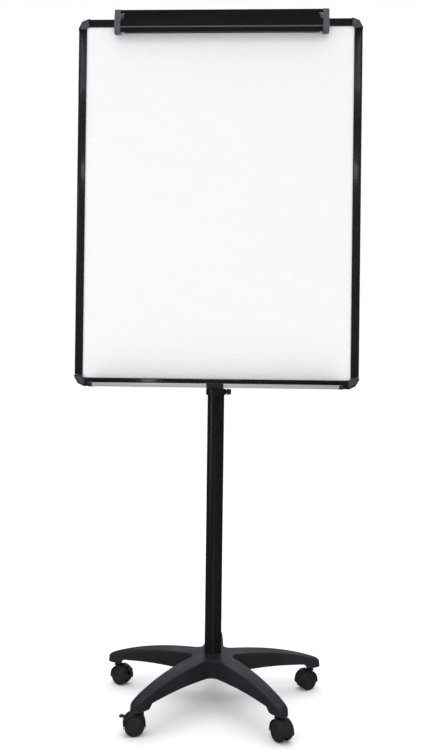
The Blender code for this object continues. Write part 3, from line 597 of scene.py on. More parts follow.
def arm_ribs():
    """Stiffening ribs under each arm, and the boss that each castor stem is pressed into."""
    ribs = []
    for turn in range(5):
        angle = radians(90 + 72 * turn)
        for radius in (0.075, 0.115, 0.155, 0.195, 0.228):
            half = arm_half_width(radius) - RIM * 0.7
            top = arm_top(radius) - 0.0080
            rib = box((radius - 0.0009, -half, arm_under(radius) + 0.004),
                      (radius + 0.0009, half, top))
            ribs.append(moved(rib, turn=angle))
        reach = [0.052 + 0.0194 * i for i in range(11)]
        spine = prism([(0.052, 0.0745), (0.246, 0.0745)]
                      + [(r, arm_top(r) - 0.0080) for r in reversed(reach)], -0.0009, 0.0009, "Y")
        ribs.append(moved(spine, turn=angle))
        boss_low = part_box("castor_stem_back")[0][2] + 0.0190
        boss = lathe([(0.0060, boss_low), (0.0094, boss_low), (0.0098, boss_low + 0.0004),
                      (0.0100, 0.0548), (0.0112, 0.0560), (0.0112, 0.0590), (0.0060, 0.0590)], 40)
        ribs.append(moved(moved(boss, (ARM_SHAPE["pivot"], 0, 0)), turn=angle))
    hub = lathe([(0.0044, 0.0730), (0.0100, 0.0730), (0.0100, 0.0690), (0.0550, 0.0690),
                 (0.0550, 0.0715), (0.0250, 0.0730), (0.0250, 0.1050), (0.0214, 0.1050),
                 (0.0214, 0.0780), (0.0044, 0.0780)], 60)
    return together(*ribs, hub)


def add_base():
    stand_in("star_base", on_axis(star_base_mesh()))
    piece("star_base_ribs", on_axis(arm_ribs()), "base", "base_nylon")
    repaint("hub_bolt", edge=0.0004)


# ---------------------------------------------------------------- column

def tube_mesh(radius, low, high):
    """A tube with rolled ends."""
    bore = radius - TUBE_WALL
    edge = rounded([(bore, low), (radius, low), (radius, high), (bore, high)],
                   TUBE_WALL * 0.45, 3)
    return lathe(edge, 96)


def add_column():
    for node in ("outer_tube", "inner_tube"):
        low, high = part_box(node)
        stand_in(node, on_axis(tube_mesh(high[0], low[2], high[2])))
    cap_r, seat, top = 0.0203, high[2] + GAP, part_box("mast_top_cap")[1][2]
    cap = lathe([(0, seat), (cap_r - 0.0004, seat), (cap_r, seat + 0.0004)]
                + dome(cap_r, seat + 0.0016, 0.0036, 10) + [(0, top - 0.0003)])
    stand_in("mast_top_cap", on_axis(cap))
    repaint("guide_bush")
    add_collar()


def add_collar():
    """The collar with its boss and parting line, and the lobed knob."""
    low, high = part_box("height_collar")
    z0, z1 = low[2], high[2]
    r = AXIS_Y - low[1]
    tube_r, step_z = 0.0213, z1 - 0.0112
    profile = [(tube_r, z0), (r, z0), (r, z1), (MAST_SEAT, z1), (MAST_SEAT, step_z),
               (tube_r, step_z)]
    ring = lathe(rounded(profile, [0.0003, 0.0009, 0.0016, 0.0006, 0, 0]), 96)
    knob_z = middle("height_knob")
    boss = lathe([(0.0034, 0.0215), (0.0056, 0.0215), (0.0056, 0.0250), (0.0052, 0.0262),
                  (0.0034, 0.0262)], 40, "X")
    rib = prism(rounded([(-0.0020, z0 + 0.0020), (0.0020, z0 + 0.0020), (0.0020, z1 - 0.0025),
                         (-0.0020, z1 - 0.0025)], 0.0010), -r - 0.0006, -r + 0.002, "X")
    bore = prism(circle(0.0033, 24, (0, knob_z)), 0.015, 0.030, "X")
    collar = cut(joined(ring, moved(boss, (0, 0, knob_z)), rib), bore)
    stand_in("height_collar", on_axis(collar), edge=0.0003)
    stand_in("height_knob", on_axis(knob_mesh(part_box("height_knob")[1][0]), knob_z))


def knob_mesh(end):
    """A six-lobed knob on its stud, along +X, with a shallow dish in its face."""
    def lobed(x, scale):
        loop = []
        for i in range(96):
            turn = 2 * pi * i / 96
            radius = scale * (0.0076 - 0.0011 * (0.5 - 0.5 * cos(6 * turn)) ** 1.6)
            loop.append((x, radius * cos(turn), radius * sin(turn)))
        return loop
    base = end - 0.0098
    rows = [(0.0, 0.62), (0.0, 0.80), (0.0007, 0.94), (0.0018, 1.0), (0.0076, 1.0),
            (0.0088, 0.95), (0.0096, 0.84), (0.0098, 0.74), (0.0092, 0.62), (0.0090, 0.30)]
    head = loft([lobed(base + x, scale) for x, scale in rows])
    stud = lathe([(0, 0.0196), (0.0026, 0.0196), (0.0030, 0.0200), (0.0030, base + 0.001),
                  (0, base + 0.001)], 32, "X")
    neck = lathe([(0, 0.0266), (0.0078, 0.0266), (0.0082, 0.0270), (0.0082, base + 0.001),
                  (0, base + 0.001)], 32, "X")
    return together(head, stud, neck)


# ---------------------------------------------------------------- castors

WHEEL_R = 0.0225
TRAIL = 0.0125
HOOD_IN, HOOD_OUT = 0.0242, 0.0264


def castor_frame(corner):
    """The matrix from a castor's own frame (x ahead, origin on the floor) to the row frame."""
    pivot = JOINT[f"castor_{corner}_swivel"]["pos_m"]
    axle = JOINT[f"wheel_{corner}_a_spin"]["axis"]
    heading = atan2(-axle[0], axle[1])
    return Matrix.Translation((pivot[0], pivot[1], 0)) @ Matrix.Rotation(heading, 4, "Z")


def wheel_mesh():
    """One wheel about Y, its closed face at +Y: a crowned tread and a dished, ringed face."""
    inner, outer = 0.0062, 0.0180
    r = WHEEL_R
    face = [(0, outer - 0.0006), (0.0028, outer - 0.0006), (0.0034, outer - 0.0001),
            (0.0046, outer), (0.0100, outer - 0.0001), (0.0160, outer - 0.0006),
            (0.0166, outer - 0.0010), (0.0174, outer - 0.0008)]
    shoulder = [(r - 0.0042 + 0.0040 * sin(t), outer - 0.0050 + 0.0042 * cos(t))
                for t in (radians(12 * i) for i in range(1, 8))]
    tread = [(r, outer - 0.0052), (r, 0.0125), (r - 0.0002, 0.0123), (r - 0.0002, 0.0119),
             (r, 0.0117), (r, inner + 0.0012), (r - 0.0004, inner + 0.0004), (r - 0.0012, inner)]
    dish = [(0.0186, inner), (0.0184, inner + 0.0004), (0.0180, 0.0138), (0.0176, 0.0140),
            (0.0064, 0.0140), (0.0062, 0.0136), (0.0060, inner), (0.0036, inner),
            (0.0034, inner + 0.0002), (0.0034, 0.0150), (0, 0.0150)]
    return lathe((face + shoulder + tread + dish)[::-1], ROUND_SIDES, "Y")


def hood_arc_point(turn, radius):
    return (TRAIL + radius * cos(turn), WHEEL_R + radius * sin(turn))


def fender_mesh():
    """The fender: a thin crowned band round the wheels that fades to a point at both ends."""
    loops, steps, half = [], 56, 0.0168
    first, last = -14, 194                      # degrees round the axle
    for i in range(steps + 1):
        turn = radians(first + (last - first) * i / steps)
        fade = min(1.0, 0.10 + 0.90 * (min(i, steps - i) / 13) ** 0.9)
        thick = (HOOD_OUT - HOOD_IN) * fade
        outside = [(half * s, HOOD_IN + 0.0003 + thick * (1 - abs(s) ** 5) ** 0.6)
                   for s in (-1, -0.97, -0.9, -0.78, -0.55, -0.25, 0, 0.25, 0.55, 0.78, 0.9,
                             0.97, 1)]
        inside = [(half, HOOD_IN), (0, HOOD_IN), (-half, HOOD_IN)]
        rim = [(y, hood_arc_point(turn, radius)) for y, radius in outside + inside]
        loops.append([(x, y, z) for y, (x, z) in rim])
    return loft(loops)


def hood_mesh(braked):
    """Fender, centre web, swivel housing, neck and axle of a castor, in its own frame."""
    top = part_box("castor_hood_back")[1][2]
    turns = [radians(-8 + 196 * i / 40) for i in range(41)]
    web = prism([hood_arc_point(t, HOOD_IN + 0.0005) for t in turns], -0.0028, 0.0028, "Y")
    axle_at = (TRAIL, 0, WHEEL_R)
    hub = moved(pin(0.0070, -0.0048, 0.0048, 0.0004, 40, "Y"), axle_at)
    axle = moved(pin(0.0030, -0.0142, 0.0142, 0.0004, 32, "Y"), axle_at)
    housing = lathe([(0, 0.0286), (0.0046, 0.0286), (0.0056, 0.0296), (0.0056, 0.0480),
                     (0, 0.0480)], 40)
    neck = lathe([(0, 0.0456), (0.0094, 0.0456), (0.0092, 0.0470), (0.0088, 0.0484),
                  (0.0084, top - 0.0003), (0.0080, top), (0, top)], 48)
    bore = prism(circle(0.0041, 32), 0.0310, 0.0600, "Z")
    hood = cut(joined(fender_mesh(), web, hub, axle, housing, neck), bore)
    if braked:
        slot_turns = [radians(14 + 44 * i / 12) for i in range(13)]
        room = [hood_arc_point(t, 0.0290) for t in slot_turns]
        room += [hood_arc_point(t, 0.0105) for t in slot_turns[::-1]]
        hood = cut(hood, prism(room, -0.0058, 0.0058, "Y"))
    return hood


def stem_mesh():
    low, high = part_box("castor_stem_back")
    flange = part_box("castor_hood_back")[1][2] + 0.0003
    profile = [(0, low[2]), (0.0032, low[2]), (0.0038, low[2] + 0.0006), (0.0038, flange),
               (0.0074, flange), (0.0078, flange + 0.0003), (0.0078, flange + 0.0009),
               (0.0074, flange + 0.0012), (0.0055, flange + 0.0012), (0.0055, high[2] - 0.001),
               (0.0045, high[2]), (0, high[2])]
    return lathe(profile, 48)


def lever_mesh():
    """The brake lever about Y through its pivot: a curved duck bill with a ribbed tread."""
    centre = [(-0.0030, 0.0), (0.0040, -0.0003), (0.0105, 0.0011), (0.0150, 0.0014),
              (0.0188, 0.0004), (0.0218, -0.0016), (0.0236, -0.0038)]
    path = smooth_path([Vector((x, 0, z)) for x, z in centre], 30)

    def section(t):
        half = 0.0042 + 0.0008 * smooth_step(0.35, 0.8, t) - 0.0010 * smooth_step(0.93, 1.0, t)
        thick = 0.0025 - 0.0009 * smooth_step(0.75, 1.0, t)
        return rounded([(-half, -thick), (half, -thick), (half, thick), (-half, thick)],
                       thick * 0.8, 4)
    blade = swept(path, section, flat=(0, 1, 0))
    ridges = [moved(prism(circle(0.0005, 12), -0.0036, 0.0036, "Y"), (x, 0, z))
              for x, z in ((0.0150, 0.0039), (0.0170, 0.0035), (0.0190, 0.0027))]
    boss = pin(0.0027, -0.0050, 0.0050, 0.0003, 32, "Y")
    return moved(joined(blade, boss, *ridges), turn=-radians(36), axis="Y")


def smooth_path(points, steps):
    """Points along a Catmull-Rom curve through the given ones."""
    padded = [points[0] * 2 - points[1], *points, points[-1] * 2 - points[-2]]
    result = []
    spans = len(points) - 1
    for i in range(steps + 1):
        place = min(i / steps * spans, spans - 1e-9)
        k = int(place)
        t = place - k
        a, b, c, d = padded[k:k + 4]
        result.append(0.5 * (2 * b + (c - a) * t + (2 * a - 5 * b + 4 * c - d) * t ** 2
                             + (3 * b - a - 3 * c + d) * t ** 3))
    return result


def add_castors():
    hoods = {False: hood_mesh(False), True: hood_mesh(True)}
    wheel, stem, lever = wheel_mesh(), stem_mesh(), lever_mesh()
    lever_turn = radians(36)
    lever_at = (TRAIL + 0.015 * cos(lever_turn), 0, WHEEL_R + 0.015 * sin(lever_turn))
    for corner in CORNERS:
        place = castor_frame(corner)

        def placed(mesh, offset=(0, 0, 0), turn=0.0):
            copy = moved(mesh, offset, turn)
            copy.transform(place)
            return copy
        stand_in(f"castor_stem_{corner}", placed(stem))
        stand_in(f"castor_hood_{corner}", placed(hoods[corner in BRAKED]), edge=0.0003)
        stand_in(f"wheel_{corner}_a", placed(wheel, (TRAIL, 0, WHEEL_R)), "wheel_nylon")
        stand_in(f"wheel_{corner}_b", placed(wheel, (TRAIL, 0, WHEEL_R), pi), "wheel_nylon")
        if corner in BRAKED:
            stand_in(f"brake_lever_{corner}", placed(lever, lever_at), "castor_nylon")


# ---------------------------------------------------------------- board

RAIL_WIDTH = 0.021


def rail_profile(width, depth):
    """(across from the inner edge, depth): a rolled face, a crisp inner bead and the panel slot."""
    return rounded([(0, 0.0034), (0, 0.0012), (0.0024, 0.0003), (0.0090, 0.0), (0.0158, 0.0006),
                    (0.0196, 0.0028), (width, 0.0070), (width, depth - 0.0006),
                    (width - 0.0010, depth), (0.0, depth), (0, 0.0148), (0.0178, 0.0148),
                    (0.0178, 0.0032), (0.0006, 0.0032)],
                   [0, 0.0008, 0.0016, 0.006, 0.006, 0.004, 0.005, 0.0006, 0.0006, 0.0004, 0, 0,
                    0, 0], 6)


def add_rails():
    for side, sign, across_axis in (("left", -1, 0), ("right", 1, 0), ("bottom", -1, 2),
                                    ("top", 1, 2)):
        low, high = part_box(f"frame_rail_{side}")
        inner = (high if sign < 0 else low)[across_axis]
        points = [(inner + sign * u, low[1] + v)
                  for u, v in rail_profile(RAIL_WIDTH, high[1] - low[1])]
        if across_axis == 0:
            mesh = prism(points, low[2], high[2], "Z")
        else:
            mesh = prism([(y, z) for z, y in points], low[0], high[0], "X")
        stand_in(f"frame_rail_{side}", mesh)


def corner_mesh(node, sign, up):
    """A moulded elbow: stepped outline, wide chamfer outside, small one inside, two sleeves."""
    low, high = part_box(node)
    outer_x = low[0] if sign < 0 else high[0]
    outer_z = low[2] if up > 0 else high[2]
    leg, inner = 0.0282, RAIL_WIDTH + 0.0010

    def placed(points):
        return [(outer_x - sign * a, outer_z + up * b) for a, b in points]
    outline = rounded([(0, leg), (0, 0.0228), (0.0092, 0.0072), (0.0244, 0), (leg, 0),
                       (leg, inner), (inner, inner), (inner, leg)],
                      [0.0004, 0.0040, 0.0055, 0.0040, 0.0004, 0.0004, 0.0058, 0.0004], 6)
    front, back = low[1], high[1]
    centre = 0.019

    def pulled(points, share):
        """The outline drawn in from its outer side, the inner side left where it is."""
        result = []
        for a, b in points:
            outside = max(0.0, 1 - min(a, b) / 0.012)
            result.append((a + (centre - a) * share * outside,
                           b + (centre - b) * share * outside))
        return result
    rows = [(front, 0.30), (front + 0.0006, 0.20), (front + 0.0018, 0.11),
            (front + 0.0038, 0.04), (front + 0.0062, 0.0), (back - 0.0010, 0.0), (back, 0.03)]
    loops = [[(x, y, z) for x, z in placed(pulled(outline, share))] for y, share in rows]
    block = loft(loops)
    panel_low, panel_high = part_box("writing_surface")
    panel_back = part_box("back_sheet")[1][1]
    slot = box([v - GAP for v in panel_low],
               (panel_high[0] + GAP, panel_back + GAP, panel_high[2] + GAP))
    return cut(block, slot)


def add_corners():
    for row, up in (("bottom", 1), ("top", -1)):
        for side, sign in SIDES:
            node = f"frame_corner_{row}_{side}"
            stand_in(node, corner_mesh(node, sign, up), edge=0.0004)
            low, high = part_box(node)
            for a, b in ((0.0110, 0.0225), (0.0225, 0.0110)):
                x = low[0] + a if sign < 0 else high[0] - a
                z = low[2] + b if up > 0 else high[2] - b
                head = moved(screw(0.0030, 0.0016), turn=-pi / 2, axis="X")
                piece(f"corner_screw_{row}_{side}_{'side' if a < b else 'end'}",
                      moved(head, (x, high[1], z)), "mast", "steel")


def add_tray():
    low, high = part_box("pen_tray")
    back, front = high[1], low[1]
    bottom, top = low[2], high[2]
    floor = bottom + 0.0016
    grooves = []
    for k in range(7):
        y = back - 0.0085 - 0.0052 * k
        grooves += [(y + 0.0006, floor), (y, floor + 0.0004), (y - 0.0006, floor)]
    section = [(back, top), (back - 0.0015, top), (back - 0.0015, floor)] + grooves
    section += [(front + 0.0060, floor), (front + 0.0036, floor + 0.0020),
                (front + 0.0020, top - 0.0004), (front + 0.0004, top), (front, top - 0.0016),
                (front + 0.0008, bottom + 0.0032), (front + 0.0040, bottom), (back, bottom)]
    radii = [0.0003, 0.0005, 0.0010] + [0] * len(grooves)
    radii += [0.0020, 0.0020, 0.0006, 0.0006, 0.0012, 0.0030, 0.0020, 0.0004]
    stand_in("pen_tray", prism(rounded(section, radii, 4), low[0], high[0], "X"))
    for side in ("left", "right"):
        low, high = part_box(f"tray_end_cap_{side}")
        back, front = high[1], low[1]
        outline = rounded([(back, high[2]), (front, high[2]), (front + 0.0010, low[2] + 0.0032),
                           (front + 0.0042, low[2]), (back, low[2])],
                          [0.0008, 0.0016, 0.0030, 0.0020, 0.0008], 5)
        stand_in(f"tray_end_cap_{side}", prism(outline, low[0], high[0], "X"), edge=0.0007)


# ---------------------------------------------------------------- mast fittings

def bent_strip(points, thickness, bend, half_width):
    """A strip of sheet metal that follows points of (y, z), with rounded bends."""
    path = rounded_open(points, bend)
    left, right = [], []
    for i, point in enumerate(path):
        along = direction(path, i)
        normal = Vector((-along.y, along.x))
        left.append(tuple(point + normal * thickness / 2))
        right.append(tuple(point - normal * thickness / 2))
    return prism(left + right[::-1], -half_width, half_width, "X")


def rounded_open(points, radius, steps=6):
    """An open line with its inner corners rounded."""
    points = [Vector(point) for point in points]
    result = [points[0]]
    for before, here, after in zip(points, points[1:], points[2:]):
        back, ahead = (before - here), (after - here)
        reach = min(radius, 0.45 * back.length, 0.45 * ahead.length)
        start, end = here + back.normalized() * reach, here + ahead.normalized() * reach
        for k in range(steps + 1):
            t = k / steps
            result.append(start * (1 - t) ** 2 + here * 2 * t * (1 - t) + end * t ** 2)
    return result + [points[-1]]


def bolt_hole(level, front, back):
    """A cutter along Y that runs 10 mm past the front and the back."""
    return prism(circle(BOLT_HOLE, 32, (0, level)), front - 0.01, back + 0.01, "Y")


def add_bracket():
    low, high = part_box("tray_bracket")
    half_sheet = 0.00075
    leg_y, lip_y = high[1] - half_sheet, low[1] + half_sheet
    shelf_z = low[2] + half_sheet
    lip_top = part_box("pen_tray")[1][2] + 0.0006
    strip = bent_strip([(leg_y, high[2]), (leg_y, shelf_z), (lip_y, shelf_z), (lip_y, lip_top)],
                       2 * half_sheet, 0.0016, high[0])
    hole = bolt_hole(middle("mast_bolt_lower"), leg_y, leg_y)
    stand_in("tray_bracket", cut(strip, hole), edge=0.0004)


def add_crossbar(row):
    node = f"crossbar_{row}"
    low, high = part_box(node)
    x, z0, z1 = high[0], low[2], high[2]
    level = middle(node)
    outline = rounded([(-x, z0), (x, z0), (x, z1), (-x, z1)], 0.0060, 5)
    plate = prism(outline, low[1], high[1], "Y")
    ribs = [pressed_rib(side, x, level, high[1]) for side in (-1, 1)]
    stand_in(node, cut(joined(plate, *ribs), bolt_hole(level, low[1], high[1])), edge=0.0004)
    for side, sign in SIDES:
        for place, dz in (("low", -0.0080), ("high", 0.0080)):
            head = moved(screw(0.0038, 0.0020), turn=-pi / 2, axis="X")
            piece(f"{node}_screw_{side}_{place}",
                  moved(head, (sign * (x - 0.0085), high[1], level + dz)), "mast", "steel")


def pressed_rib(side, x, level, back):
    """A long bead pressed into one half of a crossbar."""
    start, end = 0.045, x - 0.030
    rows = [(0.0000, 0.0060), (0.0010, 0.0055), (0.0017, 0.0042), (0.0020, 0.0022)]
    loops = []
    for rise, half in rows:
        u0, u1 = start + 0.006 - half, end - 0.006 + half
        outline = rounded([(u0, level - half), (u1, level - half), (u1, level + half),
                           (u0, level + half)], half * 0.95, 6)
        loops.append([(side * u, back - 0.0003 + rise, v) for u, v in outline])
    return loft(loops)


def add_saddle(row):
    node = f"mast_saddle_{row}"
    low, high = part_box(node)
    z0, z1 = low[2], high[2]
    level = middle(node)
    outline = rounded([(low[0], low[1]), (high[0], low[1]), (high[0], high[1]), (low[0], high[1])],
                      [0.0012, 0.0012, 0.0035, 0.0035], 5)
    block = prism(outline, z0, z1, "Z")
    seat = on_axis(prism(circle(MAST_SEAT), z0 - 0.01, z1 + 0.01, "Z"))
    hole = bolt_hole(level, low[1], high[1])
    waists = [moved(box((-0.004, -0.0012, -0.0155), (0.004, 0.0012, 0.0155)),
                    (sign * 0.0220, middle(node, 1), level)) for sign in (-1, 1)]
    stand_in(node, cut(block, seat, hole, *waists), edge=0.0008, steps=3)


def add_mast_bolt(row):
    node = f"mast_bolt_{row}"
    low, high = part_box(node)
    shank = lathe([(0, low[1] + 0.0002), (0.0034, low[1] + 0.0002), (0.0040, low[1] + 0.0010),
                   (0.0040, high[1] - 0.004), (0, high[1] - 0.004)], 40, "Y")
    nut = moved(hex_head(0.0118, 0.0029), turn=pi / 2, axis="X")
    nut = moved(nut, (0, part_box(f"crossbar_{row}")[0][1] - GAP, 0))
    seat = AXIS_Y + MAST_SEAT
    head = lathe([(0, 0), (0.0070, 0)] + dome(0.0074, 0.0004, 0.0048, 9)[:9] + [(0, 0.0052)], 48,
                 "Y")
    head = moved(head, (0, seat, 0))
    stand_in(node, moved(together(shank, nut, head), (0, 0, middle(node))))


def add_fittings():
    add_bracket()
    for row in ("lower", "upper"):
        add_crossbar(row)
        add_saddle(row)
        add_mast_bolt(row)


# ---------------------------------------------------------------- pad clamp

CLAMP_X = JOINT["jaw_hinge"]["pos_m"][0]
HINGE_Y, HINGE_Z = JOINT["jaw_hinge"]["pos_m"][1:]
FRAME_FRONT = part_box("frame_rail_left")[0][1]
ROD_R, ROD_HOLE = 0.0025, 0.0028


def forward(points):
    """Section points of (distance forward of the frame, z) as (y, z)."""
    return [(FRAME_FRONT - d, z) for d, z in points]


def jaw_outline():
    """The jaw's wall: an upper face, a ridge with a fine bead, and a lip turned in below."""
    outside = [(0.0140, 1.6993), (0.0160, 1.6950), (0.0192, 1.6790), (0.0234, 1.6553),
               (0.0237, 1.6518), (0.0246, 1.6496), (0.0240, 1.6466), (0.0234, 1.6428),
               (0.0215, 1.6408), (0.0125, 1.6446), (0.0040, 1.6485)]
    inside = [(0.0040, 1.6503), (0.0128, 1.6465), (0.0208, 1.6430), (0.0218, 1.6444),
              (0.0224, 1.6500), (0.0215, 1.6560), (0.0171, 1.6796), (0.0141, 1.6940),
              (0.0122, 1.6985)]
    radii = [0.0005, 0.004, 0.010, 0.0002, 0.0006, 0.0006, 0.0015, 0.0018, 0.0014, 0.0040,
             0.0005, 0.0004, 0.0040, 0.0010, 0.0008, 0.0020, 0.0060, 0.0100, 0.0040, 0.0005]
    return rounded(forward(outside + inside), radii, 5)


def jaw_mesh():
    low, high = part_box("clamp_jaw")
    wall = prism(jaw_outline(), low[0], high[0], "X")
    centre = (HINGE_Y, HINGE_Z)
    lug = arc(centre, 0.0048, 90, -90, 18) + forward([(0.0196, 1.6745), (0.0176, 1.6835)])
    lugs, bores = [], []
    for side in (-1, 1):
        x = CLAMP_X + side * 0.200
        lugs.append(prism(lug, x - 0.012, x + 0.012, "X"))
        bores.append(prism(circle(ROD_HOLE, 32, centre), x - 0.02, x + 0.02, "X"))
    notches = []
    for cap, side in SIDES:
        cap_low, cap_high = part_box(f"clamp_cap_{cap}")
        boss_end = cap_high[0] if side < 0 else cap_low[0]
        notches.append(prism(circle(0.0100, 48, centre), boss_end - side * 0.0006,
                             boss_end + side * 0.0300, "X"))
    return cut(joined(wall, *lugs), *bores, *notches)


def cap_mesh(side):
    """An end cap: the clamp's outline, a domed pivot boss and a dish at the rod's end."""
    low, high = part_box(f"clamp_cap_{'left' if side < 0 else 'right'}")
    boss_end, end = (high[0], low[0]) if side < 0 else (low[0], high[0])
    plate_start = boss_end + side * 0.0085
    outline = forward([(0.0003, 1.6430), (0.0118, 1.6400), (0.0200, 1.6416), (0.0245, 1.6456),
                       (0.0253, 1.6508), (0.0236, 1.6615), (0.0198, 1.6802), (0.0168, 1.6952),
                       (0.0146, 1.7000), (0.0003, 1.7000)])
    outline = rounded(outline, [0.001, 0.004, 0.004, 0.003, 0.003, 0.01, 0.01, 0.004, 0.0015,
                                0.001], 5)
    plate = prism(outline, plate_start, end, "X")
    centre = (HINGE_Y, HINGE_Z)
    boss = lathe([(0, 0), (0.0045, 0.0004), (0.0072, 0.0018), (0.0088, 0.0040), (0.0095, 0.0070),
                  (0.0095, 0.0110), (0, 0.0110)], 48, "X")
    boss = moved(boss, (boss_end, *centre), 0 if side > 0 else pi)
    bore = prism(circle(ROD_HOLE, 32, centre), boss_end - side * 0.01, boss_end + side * 0.0173,
                 "X")
    dish = prism(circle(0.0065, 48, centre), end - side * 0.0010, end + side * 0.01, "X")
    return cut(joined(plate, boss), bore, dish)


def spring_mesh():
    """The torsion spring: four coils on the hinge rod, one leg to the rail, one to the jaw."""
    coil, turns, steps = 0.0037, 4, 28
    count = turns * steps
    path = [Vector((-0.0110, 0.0085, -0.0105))]
    for i in range(count + 1):
        t = pi - 2 * pi * i / steps
        path.append(Vector((-0.0110 + 0.0220 * i / count, -coil * cos(t), coil * sin(t))))
    path.append(Vector((0.0110, -0.0008, 0.0135)))
    rings = []
    for i, point in enumerate(path):
        along = direction(path, i)
        side = along.cross(Vector((1, 0, 0))).normalized()
        up = along.cross(side)
        rings.append([point + 0.0006 * (cos(t) * side + sin(t) * up)
                      for t in (2 * pi * k / 10 for k in range(10))])
    return loft(rings)


def grip_mesh():
    """The rubber grip, with fine ribs on the face that meets the board."""
    low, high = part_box("clamp_grip_strip")
    ribs = []
    for k in range(4):
        z = 1.6490 + 0.0013 * k
        ribs += [(-0.0029, z), (-0.0031, z + 0.00065)]
    section = [(0.0037, 1.6485), (0.0037, 1.6506), (0.0085, 1.6506), (0.0085, 1.6528),
               (0.0037, 1.6528), (0.0037, 1.6542), (-0.0029, 1.6542)]
    section += ribs[::-1] + [(-0.0029, 1.6485)]
    return prism(forward(section), low[0], high[0], "X")


def hook_mesh(node):
    low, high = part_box(node)
    section = rounded(forward([(0.0052, 1.6572), (0.0052, 1.6730), (0.0026, 1.6730),
                               (0.0026, 1.6597), (0.0, 1.6597), (0.0, 1.6640),
                               (-0.0022, 1.6640), (-0.0022, 1.6572)]),
                      [0.0008, 0.0012, 0.0004, 0, 0, 0.0004, 0.0006, 0.0008], 4)
    slider = prism(section, low[0], high[0], "X")
    peg = lathe([(0, 0), (0.0030, 0), (0.0030, 0.0084), (0.0026, 0.0096), (0.0016, 0.0104),
                 (0, 0.0106)], 32, "Y")
    peg = moved(peg, (middle(node, 0), FRAME_FRONT - 0.0045, 1.6665), pi)
    return joined(slider, peg)


def add_clamp():
    low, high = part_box("clamp_rail")
    over = 1.6870                               # the rail hooks over the panel at this height
    rail = forward([(0.0023, 1.6600), (0.0023, 1.6945), (0.0003, 1.6945), (0.0003, over),
                    (-0.0150, over), (-0.0150, over - 0.0017), (0.0003, over - 0.0017),
                    (0.0003, 1.6600)])
    rail = rounded(rail, [0.0005, 0.0008, 0.0005, 0.0005, 0.0006, 0.0004, 0.0002, 0.0004], 3)
    stand_in("clamp_rail", prism(rail, low[0], high[0], "X"), "clamp_black")
    stand_in("clamp_jaw", jaw_mesh(), "clamp_black", edge=0.00025)
    stand_in("clamp_grip_strip", grip_mesh())
    stand_in("clamp_spring", moved(spring_mesh(), (CLAMP_X, HINGE_Y, HINGE_Z)))
    low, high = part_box("hinge_rod")
    rod = rounded([(0, low[0]), (ROD_R, low[0]), (ROD_R, high[0]), (0, high[0])],
                  [0, 0.0005, 0.0005, 0], 3)
    stand_in("hinge_rod", moved(lathe(rod, 32, "X"), (0, HINGE_Y, HINGE_Z)))
    for side, sign in SIDES:
        stand_in(f"clamp_cap_{side}", cap_mesh(sign), edge=0.0006)
        stand_in(f"pad_hook_{side}", hook_mesh(f"pad_hook_{side}"), edge=0.0003)


# ---------------------------------------------------------------- stage

CAMERA_PLACE = (0.0636, -1.9655, 0.7960)
CAMERA_YAW, CAMERA_PITCH, CAMERA_ROLL = -2.2547, 0.2862, 0.7083     # degrees
CAMERA_LENS = 37.22
WORLD_LIGHT, WORLD_REFLECTED = 0.88, 0.030


def add_camera():
    yaw, pitch, roll = (radians(angle) for angle in (CAMERA_YAW, CAMERA_PITCH, CAMERA_ROLL))
    ahead = Vector((sin(yaw) * cos(pitch), cos(yaw) * cos(pitch), sin(pitch)))
    right = Vector((cos(yaw), -sin(yaw), 0))
    up = right.cross(ahead)
    side = right * cos(roll) + up * sin(roll)
    top = up * cos(roll) - right * sin(roll)
    data = bpy.data.cameras.new("camera")
    data.sensor_width = 36
    data.lens = CAMERA_LENS
    camera = bpy.data.objects.new("camera", data)
    bpy.context.scene.collection.objects.link(camera)
    camera.matrix_world = (Matrix.Translation(CAMERA_PLACE)
                           @ Matrix((side, top, -ahead)).transposed().to_4x4())
    bpy.context.scene.camera = camera


def add_light(name, kind, power, gloss=True, colour=(1, 1, 1)):
    """A light that the camera doesn't see. Without gloss it leaves no highlight."""
    light = bpy.data.objects.new(name, bpy.data.lights.new(name, kind))
    light.data.energy = power
    light.data.color = colour
    light.visible_camera = False
    light.visible_glossy = gloss
    bpy.context.scene.collection.objects.link(light)
    return light


def add_soft_box(name, place, target, size, *settings):
    light = add_light(name, "AREA", *settings)
    light.data.shape = "RECTANGLE"
    light.data.size, light.data.size_y = size
    light.location = place
    light.rotation_euler = (Vector(target) - Vector(place)).to_track_quat("-Z", "Y").to_euler()


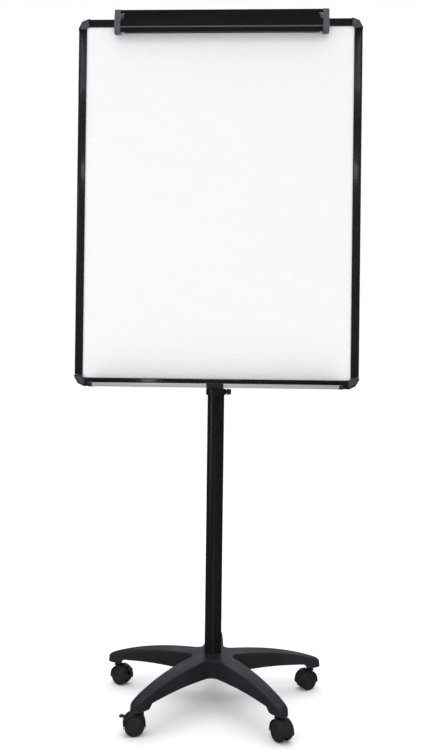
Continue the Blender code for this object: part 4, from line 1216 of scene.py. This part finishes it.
def add_floor():
    bm = bmesh.new()
    bmesh.ops.create_grid(bm, x_segments=1, y_segments=1, size=40)
    mesh = finished(bm)
    nodes = Nodes("studio_floor")
    white = nodes.mixed(nodes.noise(1.5, 2.0), (0.93, 0.93, 0.93), (0.94, 0.94, 0.94))
    nodes.shade(Base_Color=white, Roughness=0.9, Specular_IOR_Level=0.1)
    mesh.materials.append(nodes.material)
    floor = bpy.data.objects.new("studio_floor", mesh)
    floor.visible_glossy = False
    bpy.context.scene.collection.objects.link(floor)


def add_world():
    """A white room that is seen white, lights evenly and reflects only dimly."""
    world = bpy.data.worlds.new("studio")
    world.use_nodes = True
    tree = world.node_tree
    background = tree.nodes["Background"]
    background.inputs["Color"].default_value = (1.0, 1.0, 1.0, 1.0)
    rays = tree.nodes.new("ShaderNodeLightPath")
    dimmed = tree.nodes.new("ShaderNodeMapRange")
    dimmed.inputs["To Min"].default_value = WORLD_LIGHT
    dimmed.inputs["To Max"].default_value = WORLD_REFLECTED
    tree.links.new(rays.outputs["Is Glossy Ray"], dimmed.inputs["Value"])
    seen = tree.nodes.new("ShaderNodeMapRange")
    seen.inputs["To Max"].default_value = 1.0
    tree.links.new(rays.outputs["Is Camera Ray"], seen.inputs["Value"])
    tree.links.new(dimmed.outputs["Result"], seen.inputs["To Min"])
    tree.links.new(seen.outputs["Result"], background.inputs["Strength"])
    bpy.context.scene.world = world
    bpy.context.scene.view_settings.view_transform = "Standard"


def add_stage():
    add_floor()
    add_world()
    sky = add_light("sky", "SUN", 0.8, False)       # keeps the whole floor white
    sky.data.angle = radians(70)
    add_soft_box("front", (0, -3.0, 3.4), (0, 0, 1.6), (3.0, 0.7), 11)
    add_soft_box("low", (0, -1.7, 0.2), (0, 0, 0.8), (1.6, 0.4), 3.2, False)
    add_soft_box("left_strip", (-2.2, -1.2, 1.3), (0, 0, 1.2), (0.4, 1.8), 6.0, True,
                 (0.93, 0.91, 1.0))
    add_soft_box("top", (0, 0.9, 3.4), (0, 0.3, 0), (2.4, 2.2), 14, True, (0.88, 0.93, 1.0))
    add_soft_box("rear", (0.2, 3.0, 1.7), (0, 0, 0.4), (3.0, 1.8), 11, True, (0.84, 0.88, 1.0))
    add_camera()


# ---------------------------------------------------------------- the easel

add_base()
add_column()
add_castors()
add_rails()
add_corners()
for layer in ("writing_surface", "board_core", "back_sheet"):
    repaint(layer)
add_tray()
add_fittings()
add_clamp()
add_stage()
